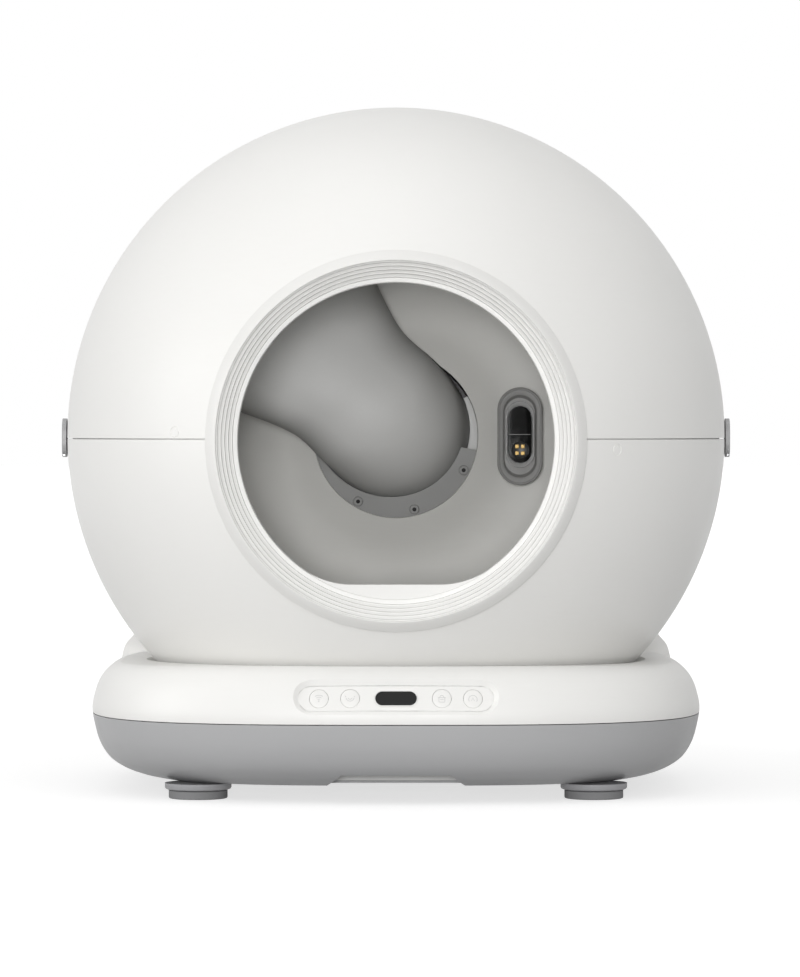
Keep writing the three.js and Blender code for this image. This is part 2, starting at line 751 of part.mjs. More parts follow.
const seamTop = -SEAM_DROP + SEAM_GAP / 2;
const seamBottom = -SEAM_DROP - SEAM_GAP / 2;
const latchPivotX = latchOut - LATCH_THICK / 2;
const latchPivotZ = -SEAM_DROP - LATCH_PIVOT_DROP;

function makeGlobeUpper() {
  return globeShell().intersect(solid(box([-reach, -reach, seamTop], [reach, reach, reach])));
}

function makeGlobeLower() {
  const span = solid(box([-reach, -reach, -globeFootDrop], [reach, reach, seamBottom]));
  const floorRadius = Math.sqrt((GLOBE_RADIUS - GLOBE_WALL / 2) ** 2 - globeFootDrop ** 2);
  const floor = discY(floorRadius, 0, GLOBE_WALL, ROUND_STEPS).rotateX(Math.PI / 2);
  let shell = globeShell().intersect(span).add(solid(floor, move(0, 0, -globeFootDrop)));
  shell = shell.subtract(solid(
    discY(PINION_SHAFT + 2 * RUN, gearFront, globeBack + OVERRUN / 2, PIN_STEPS),
    move(pinionX, 0, pinionZ),
  ));
  for (const side of [-1, 1]) {
    const half = KNUCKLE_WIDTH / 2;
    const place = move(side * latchPivotX, 0, latchPivotZ);
    const web = solid(box(
      [-GLOBE_WALL - LATCH_THICK / 2, -half, -KNUCKLE_RADIUS],
      [0, half, KNUCKLE_RADIUS],
    ), new THREE.Matrix4().makeRotationZ(side > 0 ? 0 : Math.PI).premultiply(place));
    const knuckle = solid(discY(KNUCKLE_RADIUS, -half, half, PIN_STEPS), place);
    const bore = solid(discY(LATCH_PIN + LATCH_PIN_GAP, -LATCH_WIDTH, LATCH_WIDTH, PIN_STEPS), place);
    shell = shell.add(web).add(knuckle).subtract(bore);
  }
  return shell;
}

// Entry ring: rounded band, ribbed funnel, throat with a flat sill

function makeRing() {
  const bandInner = RING_RADIUS - RING_BAND;
  const seat = -Math.sqrt(GLOBE_RADIUS ** 2 - RING_RADIUS ** 2);
  const throatFront = -ringFront + RING_DEPTH;
  const sillRadius = SILL_DROP - RING_WALL - RING_DROP;
  const points = [
    [RING_RADIUS, seat + RING_WALL],
    [RING_RADIUS, seat - RING_BAND * 0.35],
    [RING_RADIUS - RING_BAND * 0.16, -ringFront + RING_BAND * 0.12],
    [RING_RADIUS - RING_BAND * 0.45, -ringFront],
    [bandInner, -ringFront + RING_BAND * 0.16],
  ];
  const slope = (RING_DEPTH - RING_BAND * 0.16) / (bandInner - RING_THROAT);
  const pitch = (bandInner - RING_THROAT) / RING_RIBS;
  for (let i = 0; i < RING_RIBS; i += 1) {
    const radius = bandInner - pitch * i;
    const y = points[4][1] + pitch * i * slope;
    points.push([radius - pitch * 0.4, y + pitch * slope * 0.4 - RING_RIB_HEIGHT]);
    points.push([radius - pitch, y + pitch * slope]);
  }
  points.push([sillRadius, throatFront]);
  points.push([sillRadius, throatFront + RING_TUBE]);
  points.push([RING_THROAT + RING_WALL, throatFront + RING_TUBE]);
  points.push([RING_SPIGOT - RING_WALL, seat + RING_TUBE * 0.6]);
  points.push([RING_SPIGOT, seat + RING_TUBE * 0.6]);
  points.push([RING_SPIGOT, seat + RING_WALL]);
  const shellSpace = globeForm(-SEAT, PROFILE_STEPS)
    .translate([0, 0, RING_DROP])
    .subtract(solid(discY(RING_SPIGOT, -reach, reach, GLOBE_STEPS)));
  const ring = solid(revolve(points, GLOBE_STEPS)).subtract(shellSpace);
  const floor = -SILL_DROP;
  const corner = Math.sqrt(RING_THROAT ** 2 - SILL_DROP ** 2);
  const start = Math.atan2(floor, corner) + rad(SILL_BLEND) / 3;
  const hole = new THREE.Shape();
  hole.absarc(0, 0, RING_THROAT, start, Math.PI - start);
  hole.quadraticCurveTo(-corner, floor, -corner + SILL_BLEND * 0.7, floor);
  hole.lineTo(corner - SILL_BLEND * 0.7, floor);
  hole.quadraticCurveTo(corner, floor, RING_THROAT * Math.cos(start), RING_THROAT * Math.sin(start));
  const throat = plateY(hole, -ringFront - OVERRUN, RING_DEPTH + RING_TUBE + 2 * OVERRUN, 20);
  return ring.subtract(solid(throat));
}

// Side latch, drawn for the right side about its pivot

function makeLatch() {
  const shape = new THREE.Shape();
  const half = LATCH_THICK / 2;
  const top = LATCH_PIVOT_DROP + LATCH_TOP;
  shape.moveTo(-half, 0);
  shape.lineTo(-half, top);
  shape.lineTo(half - LATCH_CHAMFER, top);
  shape.lineTo(half, top - 2 * LATCH_CHAMFER);
  shape.lineTo(half, 0);
  shape.absarc(0, 0, half, 0, -Math.PI, true);
  const bar = solid(plateY(shape, -LATCH_WIDTH / 2, LATCH_WIDTH, 5));
  const tall = new THREE.Shape();
  const corner = LATCH_WIDTH / 4;
  const low = -LATCH_TAIL;
  const side = LATCH_WIDTH / 2;
  tall.moveTo(-side + corner, low);
  tall.lineTo(side - corner, low);
  tall.quadraticCurveTo(side, low, side, low + corner);
  tall.lineTo(side, top - corner);
  tall.quadraticCurveTo(side, top, side - corner, top);
  tall.lineTo(-side + corner, top);
  tall.quadraticCurveTo(-side, top, -side, top - corner);
  tall.lineTo(-side, low + corner);
  tall.quadraticCurveTo(-side, low, -side + corner, low);
  const face = solid(
    plateY(tall, -LATCH_THICK, 2 * LATCH_THICK, 4),
    new THREE.Matrix4().makeRotationZ(Math.PI / 2),
  );
  const notch = solid(box(
    [-LATCH_THICK, -KNUCKLE_WIDTH / 2 - RUN, -LATCH_THICK],
    [LATCH_THICK, KNUCKLE_WIDTH / 2 + RUN, KNUCKLE_RADIUS + LATCH_THICK],
  ));
  const bore = solid(discY(LATCH_PIN + LATCH_PIN_GAP, -LATCH_WIDTH, LATCH_WIDTH, PIN_STEPS));
  return bar.intersect(face).subtract(notch).subtract(bore);
}

function makeLatchPin() {
  return discY(LATCH_PIN, -LATCH_WIDTH / 2 + RUN, LATCH_WIDTH / 2 - RUN, PIN_STEPS);
}

// Drum and what rides on it

const drumMouthBack = -drumFront + DRUM_TRACK;

function drumCurve() {
  const length = drumDish + drumFront - DRUM_TRACK;
  const points = DRUM_PROFILE_SHARES.map(([radius, along]) => (
    new THREE.Vector3(drumRadius * radius, drumMouthBack + length * along, 0)
  ));
  points.unshift(new THREE.Vector3(DRUM_MOUTH, drumMouthBack, 0));
  points.push(new THREE.Vector3(HUB_BORE, hubEdge, 0));
  return new THREE.CatmullRomCurve3(points, false, 'centripetal').getPoints(DRUM_STEPS);
}

function offsetCurve(curve, distance) {
  return curve.map((point, i) => {
    const before = curve[Math.max(i - 1, 0)];
    const after = curve[Math.min(i + 1, curve.length - 1)];
    const along = after.clone().sub(before).normalize();
    return new THREE.Vector3(point.x + along.y * distance, point.y - along.x * distance, 0);
  });
}

// Chute: ring of points at each station, from the hub's end to the lobe's open end
function chuteForm(shrink) {
  const lean = rad(CHUTE_LEAN);
  const outward = new THREE.Vector3(Math.cos(lean), 0, Math.sin(lean));
  const back = new THREE.Vector3(0, 1, 0);
  const hub = new THREE.Vector3(0, 0, CHUTE_RISE);
  const stations = [
    { centre: hub.clone().setY(hubEnd - RUN + (shrink > 0 ? OVERRUN : 0)), wide: CHUTE_TUBE, thin: CHUTE_TUBE },
    { centre: hub.clone().setY((hubEdge + 2 * hubEnd) / 3), wide: CHUTE_TUBE, thin: CHUTE_TUBE },
  ];
  for (const [out, behind, wide, thin] of CHUTE_SHARES) {
    stations.push({
      centre: hub.clone().multiplyScalar(1 - out)
        .addScaledVector(outward, chuteReach * out)
        .setY(hubEdge * behind),
      wide: CHUTE_WIDE * wide,
      thin: CHUTE_THIN * thin,
      tilt: CHUTE_TILT * Math.min(1, out * 3),
    });
  }
  if (shrink > 0) {
    const last = stations[stations.length - 1];
    stations.push({ ...last, centre: last.centre.clone().addScaledVector(outward, OVERRUN) });
  }
  const path = new THREE.CatmullRomCurve3(stations.map((station) => station.centre));
  const rings = stations.map((station, i) => {
    const along = path.getTangent(i / (stations.length - 1));
    if (i < 2) along.copy(back).negate();
    const across = new THREE.Vector3().crossVectors(outward, back).normalize();
    across.applyAxisAngle(along, rad(station.tilt ?? 0));
    const over = new THREE.Vector3().crossVectors(across, along).normalize();
    const ring = [];
    const steps = SMALL_STEPS;
    for (let k = 0; k < steps; k += 1) {
      const turn = (2 * Math.PI * k) / steps;
      ring.push(station.centre.clone()
        .addScaledVector(across, (station.wide - shrink) * Math.cos(turn))
        .addScaledVector(over, (station.thin - shrink) * Math.sin(turn)));
    }
    return ring;
  });
  return loft(rings);
}

function makeChute() {
  return solid(chuteForm(0)).subtract(solid(chuteForm(CHUTE_WALL)));
}

function makeDrum() {
  const inner = drumCurve();
  const outer = offsetCurve(inner, DRUM_WALL);
  const sleeve = HUB_BORE + HUB_WALL;
  const outside = outer.filter((point) => point.x > sleeve + DRUM_WALL && point.y > drumMouthBack + DRUM_WALL);
  const points = [
    [DRUM_MOUTH, -drumFront],
    ...inner.map((point) => [point.x, point.y]),
    [HUB_BORE, hubEnd],
    [sleeve, hubEnd],
    [sleeve, drumDish + DRUM_WALL],
    ...outside.reverse().map((point) => [point.x, point.y]),
    [DRUM_MOUTH + DRUM_WALL, drumMouthBack],
    [DRUM_MOUTH + DRUM_WALL, -drumFront],
  ];
  return solid(revolve(points)).subtract(solid(chuteForm(-CHUTE_GAP)));
}

// Space inside the drum, less a gap
function drumSpace(gap) {
  const curve = offsetCurve(drumCurve(), -gap);
  const points = [[0, -drumFront], [DRUM_MOUTH - gap, -drumFront]];
  for (const point of curve) points.push([point.x, point.y]);
  points.push([0, hubEdge]);
  return solid(revolve(points));
}

function makeSieve() {
  const width = SIEVE_FRONT + SIEVE_BACK;
  const long = drumRadius - sieveInner + OVERRUN;
  let plate = solid(box([0, -SIEVE_FRONT, 0], [long, SIEVE_BACK, SIEVE_THICK]));
  const pitch = SIEVE_SLOT + SIEVE_BAR;
  const count = Math.floor((width - 2 * SIEVE_EDGE + SIEVE_BAR) / pitch);
  const first = -SIEVE_FRONT + (width - count * pitch + SIEVE_BAR) / 2;
  const slotEnd = drumRadius - sieveInner - 3 * SIEVE_EDGE;
  for (let i = 0; i < count; i += 1) {
    plate = plate.subtract(solid(box(
      [SIEVE_EDGE, first + pitch * i, -SIEVE_THICK],
      [slotEnd, first + pitch * i + SIEVE_SLOT, 2 * SIEVE_THICK],
    )));
  }
  const place = new THREE.Matrix4().makeRotationY(-rad(SIEVE_ANGLE))
    .multiply(move(sieveInner, 0, 0));
  return plate.transform(place.elements).intersect(drumSpace(SEAT));
}

function makeFlange() {
  const outer = plugIn(HUB_BORE, SEAT, ROUND_STEPS);
  const inner = CHUTE_TUBE + SEAT;
  const front = hubEdge + FLANGE_INSET;
  const shape = new THREE.Shape();
  shape.moveTo(0, 0);
  shape.absarc(0, 0, outer, rad(FLANGE_START_ANGLE), rad(FLANGE_END_ANGLE));
  let flange = solid(plateY(shape, front, FLANGE_THICK, SMALL_STEPS));
  for (const angle of BOSS_ANGLES) {
    flange = flange.add(solid(
      discY(BOSS_RADIUS, front - BOSS_HEIGHT, front + FLANGE_THICK, SMALL_STEPS),
      move(BOSS_CIRCLE * Math.cos(rad(angle)), 0, BOSS_CIRCLE * Math.sin(rad(angle))),
    ));
  }
  for (const angle of BOSS_ANGLES) {
    flange = flange.subtract(solid(
      discY(SCREW_RADIUS + SEAT, front - 2 * BOSS_HEIGHT, front - BOSS_HEIGHT + SCREW_HEAD + SEAT, PIN_STEPS),
      move(BOSS_CIRCLE * Math.cos(rad(angle)), 0, BOSS_CIRCLE * Math.sin(rad(angle))),
    ));
  }
  return flange.subtract(solid(
    discY(inner, front - OVERRUN, front + OVERRUN, BODY_STEPS),
    move(0, 0, CHUTE_RISE),
  )).subtract(solid(chuteForm(-SEAT)));
}

function makeScrew() {
  const front = hubEdge + FLANGE_INSET - BOSS_HEIGHT;
  return discY(SCREW_RADIUS, front, front + SCREW_HEAD, PIN_STEPS);
}

// Gear with involute flanks, drawn in the XZ plane about its centre
function gearShape(teeth, slack, bore, levelShares) {
  const pitchRadius = (GEAR_MODULE * teeth) / 2;
  const base = pitchRadius * Math.cos(rad(20));
  const root = pitchRadius - 1.2 * GEAR_MODULE;
  const tip = pitchRadius + 0.85 * GEAR_MODULE;
  const spread = (radius) => {
    if (radius <= base) return 0;
    const ratio = Math.sqrt((radius / base) ** 2 - 1);
    return ratio - Math.atan(ratio);
  };
  const halfAtPitch = Math.PI / (2 * teeth) - slack / (2 * pitchRadius);
  const half = (radius) => halfAtPitch + spread(pitchRadius) - spread(radius);
  const shape = new THREE.Shape();
  const levels = levelShares.map((share) => root + (tip - root) * share);
  for (let i = 0; i < teeth; i += 1) {
    const middle = (2 * Math.PI * i) / teeth;
    const flanks = [
      ...levels.map((radius) => [radius, middle - half(radius)]),
      ...levels.slice().reverse().map((radius) => [radius, middle + half(radius)]),
    ];
    flanks.forEach(([radius, turn], k) => {
      const x = radius * Math.cos(turn);
      const y = radius * Math.sin(turn);
      if (i === 0 && k === 0) shape.moveTo(x, y);
      else shape.lineTo(x, y);
    });
  }
  if (bore > 0) {
    const hole = new THREE.Path();
    hole.absarc(0, 0, bore, 0, 2 * Math.PI);
    shape.holes.push(hole);
  }
  return shape;
}

function makeRingGear() {
  const bore = holeRound(HUB_BORE + HUB_WALL, SEAT, 2 * SMALL_STEPS);
  const shape = gearShape(GEAR_TEETH, MESH_SLACK, bore, [0, 1]);
  return plateY(shape, gearFront, GEAR_WIDTH, SMALL_STEPS);
}

const motorFront = towerFace - GLOBE_SETBACK + BASE_WALL + SEAT;

function makePinion() {
  const shape = gearShape(PINION_TEETH, MESH_SLACK, 0, [0, 0.6, 1]);
  const turned = plateY(shape, gearFront, GEAR_WIDTH, 4)
    .rotateY(-(rad(PINION_ANGLE) + Math.PI + Math.PI / PINION_TEETH));
  const shaft = discY(PINION_SHAFT, gearFront + GEAR_WIDTH / 2, motorFront - SEAT, PIN_STEPS);
  return solid(turned).add(solid(shaft));
}

function makeMotor() {
  const half = GEARBOX_SIDE / 2;
  const gearbox = solid(box([-half, motorFront, -half], [half, motorFront + GEARBOX_LENGTH, half]));
  const can = discY(MOTOR_RADIUS, motorFront + GEARBOX_LENGTH / 2, motorFront + MOTOR_LENGTH, SMALL_STEPS);
  return gearbox.add(solid(can));
}

function makeBearing() {
  const front = towerFace - GLOBE_SETBACK - TOWER_WALL_GAP / 2;
  return tubeY(bearingBore, bearingRadius, front, front + BEARING_WIDTH, ROUND_STEPS);
}

// Rollers under the drum's front track

const rollerRange = DRUM_MOUTH + DRUM_WALL + SEAT + ROLLER_RADIUS;
const rollerFront = -drumFront + (DRUM_TRACK - ROLLER_WIDTH) / 2;

function makeRoller() {
  return tubeY(ROLLER_AXLE + RUN, ROLLER_RADIUS, rollerFront, rollerFront + ROLLER_WIDTH, SMALL_STEPS);
}

function makeRollerBracket(side) {
  const front = rollerFront - RUN - BRACKET_THICK;
  const plate = solid(box(
    [-BRACKET_WIDTH / 2, front, -GLOBE_RADIUS],
    [BRACKET_WIDTH / 2, front + BRACKET_THICK, -rollerRange + BRACKET_WIDTH / 2],
  ));
  const axle = solid(
    discY(ROLLER_AXLE, front + BRACKET_THICK / 2, rollerFront + ROLLER_WIDTH, PIN_STEPS),
    move(0, 0, -rollerRange),
  );
  const swing = new THREE.Matrix4().makeRotationY(-side * rad(ROLLER_ANGLE));
  return plate.add(axle).transform(swing.elements).intersect(globeForm(GLOBE_WALL + SEAT, CORE_STEPS));
}

// Sensor module on the back wall of the drum

const sensorZ = -SENSOR_DROP;
const pocketFloor = sensorFront + SENSOR_POCKET_DEEP;

function makeSensorSurround() {
  const body = solid(plateY(stadium(SENSOR_WIDTH, SENSOR_HEIGHT), sensorFront, SENSOR_DEEP));
  const pocket = solid(plateY(
    stadium(SENSOR_POCKET_WIDTH, SENSOR_POCKET_HEIGHT),
    sensorFront - OVERRUN,
    SENSOR_POCKET_DEEP + OVERRUN,
  ));
  return body.subtract(pocket).translate([SENSOR_X, 0, sensorZ]).intersect(drumSpace(SEAT));
}

function makeBezel() {
  const shape = stadium(BEZEL_WIDTH, BEZEL_HEIGHT);
  shape.holes.push(new THREE.Path(stadium(LENS_WIDTH + 2 * SEAT, LENS_HEIGHT + 2 * SEAT).getPoints(END_STEPS)));
  return plateY(shape, pocketFloor - SEAT - BEZEL_THICK, BEZEL_THICK);
}

function makeLens() {
  const shape = stadium(LENS_WIDTH, LENS_HEIGHT);
  const well = new THREE.Path();
  well.absarc(0, -CONTACT_DROP, holeRound(CONTACT_WELL, SEAT, 2 * END_STEPS), 0, 2 * Math.PI);
  shape.holes.push(well);
  return plateY(shape, pocketFloor - SEAT - LENS_THICK, LENS_THICK);
}

function makeContacts() {
  const back = pocketFloor - SEAT;
  let block = solid(discY(CONTACT_WELL, back - LENS_THICK / 2, back, SMALL_STEPS));
  for (const x of [-1, 1]) {
    for (const z of [-1, 1]) {
      const half = CONTACT_SIDE / 2;
      block = block.add(solid(
        box([-half, back - LENS_THICK / 2 - CONTACT_PROUD, -half], [half, back - LENS_THICK / 4, half]),
        move((x * CONTACT_PITCH) / 2, 0, (z * CONTACT_PITCH) / 2),
      ));
    }
  }
  return block;
}

// Power inlet and main board inside the tower

function makeInlet() {
  const back = BASE_HALF_DEPTH - BASE_WALL / 2;
  return revolve([
    [0, back - INLET_LENGTH],
    [INLET_RADIUS, back - INLET_LENGTH],
    [INLET_RADIUS, back],
    [INLET_BORE, back],
    [INLET_BORE, back - INLET_LENGTH * 0.7],
    [0, back - INLET_LENGTH * 0.7],
  ], SMALL_STEPS);
}

function makeMainBoard() {
  const back = BASE_HALF_DEPTH - BASE_WALL - MAIN_BOARD_STAND;
  const half = MAIN_BOARD_WIDTH / 2;
  const top = MAIN_BOARD_BOTTOM + MAIN_BOARD_HEIGHT;
  let board = solid(box([-half, back - BOARD_THICK, MAIN_BOARD_BOTTOM], [half, back, top]));
  for (const x of [-half + STANDOFF_RADIUS * 2, half - STANDOFF_RADIUS * 2]) {
    for (const z of [MAIN_BOARD_BOTTOM + STANDOFF_RADIUS * 2, top - STANDOFF_RADIUS * 2]) {
      board = board.add(solid(
        discY(STANDOFF_RADIUS, back - BOARD_THICK / 2, BASE_HALF_DEPTH + OVERRUN, PIN_STEPS),
        move(x, 0, z),
      ));
    }
  }
  return board.translate([MAIN_BOARD_X, 0, 0]).intersect(towerForm(BASE_WALL + SEAT));
}

// Assembly

const white = new THREE.MeshStandardMaterial({ color: 0xe9e7e2, roughness: 0.38, metalness: 0 });
const lightGrey = new THREE.MeshStandardMaterial({ color: 0xa9abae, roughness: 0.5, metalness: 0 });
const liner = new THREE.MeshStandardMaterial({ color: 0xb9b8b2, roughness: 0.55, metalness: 0 });
const chuteGrey = new THREE.MeshStandardMaterial({ color: 0x94948f, roughness: 0.5, metalness: 0 });
const darkGrey = new THREE.MeshStandardMaterial({ color: 0x6f6f6d, roughness: 0.6, metalness: 0 });
const rubber = new THREE.MeshStandardMaterial({ color: 0x7d7e80, roughness: 0.85, metalness: 0 });
const black = new THREE.MeshStandardMaterial({ color: 0x141414, roughness: 0.12, metalness: 0 });
const chrome = new THREE.MeshStandardMaterial({ color: 0xc9c9c9, roughness: 0.15, metalness: 1 });
const steel = new THREE.MeshStandardMaterial({ color: 0x9b9b9b, roughness: 0.35, metalness: 1 });
const gold = new THREE.MeshStandardMaterial({ color: 0xc9a24a, roughness: 0.3, metalness: 1 });
const nylon = new THREE.MeshStandardMaterial({ color: 0xd8d6cc, roughness: 0.5, metalness: 0 });
const board = new THREE.MeshStandardMaterial({ color: 0x1f5a3a, roughness: 0.6, metalness: 0 });
const carbon = new THREE.MeshStandardMaterial({ color: 0x2b2b2b, roughness: 0.9, metalness: 0 });

function piece(name, shape, material) {
  const geometry = shape.isBufferGeometry ? closed(shape) : geometryOf(shape);
  const mesh = new THREE.Mesh(geometry, material);
  mesh.name = name;
  return mesh;
}

const litterBox = new THREE.Group();
litterBox.add(
  piece('base_lower_shell', makeBaseLower(), lightGrey),
  piece('base_upper_shell', makeBaseUpper(), white),
  piece('drawer_front', makeDrawerFront(), lightGrey),
  piece('drawer_tray', makeDrawerTray(), darkGrey),
  piece('drawer_filter', makeDrawerFilter(), carbon),
  piece('waste_guide', makeWasteGuide(), darkGrey),
  piece('main_board', makeMainBoard(), board),
);

const feet = { front_left: [-1, -1], front_right: [1, -1], rear_left: [-1, 1], rear_right: [1, 1] };
for (const [name, [x, y]] of Object.entries(feet)) {
  const top = BASE_BOTTOM - SEAT;
  const flange = discY(FOOT_FLANGE_RADIUS, 0, FOOT_FLANGE_HEIGHT, FOOT_STEPS).rotateX(Math.PI / 2);
  const pad = discY(FOOT_PAD_RADIUS, 0, FOOT_PAD_HEIGHT, FOOT_STEPS).rotateX(Math.PI / 2);
  const footFlange = piece(`foot_${name}`, flange, rubber);
  footFlange.position.set(x * FOOT_PLACE_X, y * FOOT_PLACE_Y, top - FOOT_FLANGE_HEIGHT);
  const footPad = piece(`foot_pad_${name}`, pad, rubber);
  footPad.position.set(x * FOOT_PLACE_X, y * FOOT_PLACE_Y, 0);
  litterBox.add(footFlange, footPad);
}

const panel = new THREE.Group();
panel.applyMatrix4(panelPlace);
panel.add(piece('control_panel', makePanel(), white));
BUTTON_PLACES.forEach((place, i) => {
  const button = piece(
    `button_${i + 1}`,
    discY(BUTTON_RADIUS, panelFloor, panelFloor + BUTTON_LENGTH, 2 * BUTTON_STEPS),
    white,
  );
  button.position.x = place;
  panel.add(button);
});
panel.add(piece(
  'display_lens',
  plateY(stadium(DISPLAY_WIDTH, DISPLAY_HEIGHT), panelFloor, DISPLAY_THICK),
  black,
));
panel.add(piece('control_board', box(
  [-BOARD_WIDTH / 2, boardFront, -BOARD_HEIGHT / 2],
  [BOARD_WIDTH / 2, boardFront + BOARD_THICK, BOARD_HEIGHT / 2],
), board));
litterBox.add(panel);

const inlet = piece('power_inlet', makeInlet(), black);
inlet.position.set(INLET_X, 0, INLET_HEIGHT);
litterBox.add(inlet);

const globe = new THREE.Group();
globe.applyMatrix4(globePlace);
globe.add(
  piece('globe_lower_shell', makeGlobeLower(), white),
  piece('globe_upper_shell', makeGlobeUpper(), white),
  piece('litter_drum', makeDrum(), liner),
  piece('waste_chute', makeChute(), chuteGrey),
  piece('sieve', makeSieve(), chuteGrey),
  piece('hub_flange', makeFlange(), darkGrey),
  piece('ring_gear', makeRingGear(), nylon),
  piece('hub_bearing', makeBearing(), nylon),
  piece('sensor_surround', makeSensorSurround(), darkGrey),
);
const ring = piece('entry_ring', makeRing(), white);
ring.position.z = -RING_DROP;
globe.add(ring);

for (const [name, side] of [['left', -1], ['right', 1]]) {
  const latch = piece(`${name}_latch`, makeLatch(), rubber);
  const pin = piece(`${name}_latch_pin`, makeLatchPin(), steel);
  for (const mesh of [latch, pin]) {
    mesh.position.set(side * latchPivotX, 0, latchPivotZ);
    if (side < 0) mesh.rotation.z = Math.PI;
    globe.add(mesh);
  }
  const bracket = piece(`${name}_roller_bracket`, makeRollerBracket(side), steel);
  const roller = piece(`${name}_roller`, makeRoller(), nylon);
  roller.position.set(
    side * rollerRange * Math.sin(rad(ROLLER_ANGLE)),
    0,
    -rollerRange * Math.cos(rad(ROLLER_ANGLE)),
  );
  globe.add(bracket, roller);
}

BOSS_ANGLES.forEach((angle, i) => {
  const screw = piece(`hub_screw_${i + 1}`, makeScrew(), steel);
  screw.position.set(BOSS_CIRCLE * Math.cos(rad(angle)), 0, BOSS_CIRCLE * Math.sin(rad(angle)));
  globe.add(screw);
});

for (const [name, shape, material, drop] of [
  ['sensor_bezel', makeBezel(), chrome, 0],
  ['sensor_lens', makeLens(), black, 0],
  ['contact_block', makeContacts(), gold, CONTACT_DROP],
]) {
  const mesh = piece(name, shape, material);
  mesh.position.set(SENSOR_X, 0, sensorZ - drop);
  globe.add(mesh);
}

for (const [name, shape, material] of [
  ['drive_pinion', makePinion(), nylon],
  ['gear_motor', makeMotor(), steel],
]) {
  const mesh = piece(name, shape, material);
  mesh.position.set(pinionX, 0, pinionZ);
  globe.add(mesh);
}
litterBox.add(globe);

export default litterBox;
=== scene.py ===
"""Fine surfaces and finishes of a globe shaped self cleaning litter box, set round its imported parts."""

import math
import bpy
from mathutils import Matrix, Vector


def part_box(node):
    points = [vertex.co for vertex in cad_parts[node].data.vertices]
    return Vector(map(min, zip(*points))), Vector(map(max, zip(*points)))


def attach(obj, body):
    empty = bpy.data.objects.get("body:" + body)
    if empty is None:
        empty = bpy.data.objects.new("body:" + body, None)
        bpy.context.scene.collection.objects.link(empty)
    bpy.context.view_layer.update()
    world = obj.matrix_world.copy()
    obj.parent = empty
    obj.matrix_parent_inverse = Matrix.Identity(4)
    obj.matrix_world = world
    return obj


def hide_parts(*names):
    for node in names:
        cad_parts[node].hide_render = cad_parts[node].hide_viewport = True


bl_info = {
    "name": "Globe litter box",
    "version": (1, 0, 0),
    "blender": (4, 5, 0),
    "location": "3D View > Sidebar > Litter Box",
    "description": "Builds the shells, entry, drum, panel and finishes of a globe litter box",
    "category": "Object",
}

import bpy
from mathutils import Matrix, Vector

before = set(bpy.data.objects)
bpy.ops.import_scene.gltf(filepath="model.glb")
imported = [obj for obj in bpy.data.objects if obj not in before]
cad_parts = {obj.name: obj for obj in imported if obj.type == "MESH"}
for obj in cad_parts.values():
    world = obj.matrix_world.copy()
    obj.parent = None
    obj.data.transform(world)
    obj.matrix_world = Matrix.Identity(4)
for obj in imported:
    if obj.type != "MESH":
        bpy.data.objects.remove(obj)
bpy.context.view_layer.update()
MM = 0.001


# Sizes and colours


def length(name, description, millimetres):
    """A length that a user can change, stored in metres."""
    return bpy.props.FloatProperty(
        name=name, description=description, default=millimetres * MM, unit="LENGTH", precision=5
    )


def angle(name, description, degrees):
    """An angle that a user can change."""
    return bpy.props.FloatProperty(
        name=name, description=description, default=math.radians(degrees), unit="ROTATION"
    )


def count(name, description, number):
    """A whole number that a user can change."""
    return bpy.props.IntProperty(name=name, description=description, default=number, min=1)


def colour(name, description, red, green, blue):
    """A surface colour that a user can change."""
    return bpy.props.FloatVectorProperty(
        name=name, description=description, default=(red, green, blue), subtype="COLOR",
        size=3, min=0, max=1,
    )


class GlobeSizes(bpy.types.PropertyGroup):
    """Sizes of the outer globe"""

    radius: length("Radius", "Outer radius of the globe", 279.4)
    wall: length("Wall", "Wall of the globe shells", 3)
    height: length("Height", "Height of the globe's centre above the floor", 296)
    setback: length("Setback", "Place of the globe's centre along Y", -8)
    flat_back: length("Flat back", "Flat back behind the centre", 205)
    back_fillet: length("Back fillet", "Rounding round the flat back", 16)
    foot_drop: length("Foot drop", "Flat bottom below the centre", 222.7)
    back_hole: length("Back hole", "Radius of the hole round the hub", 80)
    seam_drop: length("Seam drop", "Seam below the centre", 2)
    seam_gap: length("Seam gap", "Gap between the two shells", 0.9)
    seam_sink: length("Seam sink", "Depth of the tongue behind the seam", 4.5)
    mark_radius: length("Mark radius", "Radius of the small moulded circles by the seam", 4.3)


class RingSizes(bpy.types.PropertyGroup):
    """Sizes of the entry ring"""

    radius: length("Radius", "Outer radius of the ring", 153.2)
    spigot: length("Spigot", "Radius of the part that plugs into the globe", 149.6)
    front: length("Front", "Front of the ring before the globe's centre", 245)
    band: length("Band", "Width of the rounded band", 8.8)
    band_rise: length("Band rise", "Rise of the band from its outer to its inner edge", 7)
    depth: length("Depth", "Depth from the band to the throat", 19)
    throat: length("Throat", "Radius of the throat", 127.5)
    tube: length("Tube", "Length of the throat", 14)
    drop: length("Drop", "Centre of the ring below the globe's", 3.4)
    ribs: count("Ribs", "Number of fine ribs", 5)
    rib_land: length("Rib land", "Front facing land of each rib", 0.55)
    sill_drop: length("Sill drop", "Flat sill below the ring's centre", 115.7)
    sill_blend: length("Sill blend", "Rounding from the sill into the throat", 26)


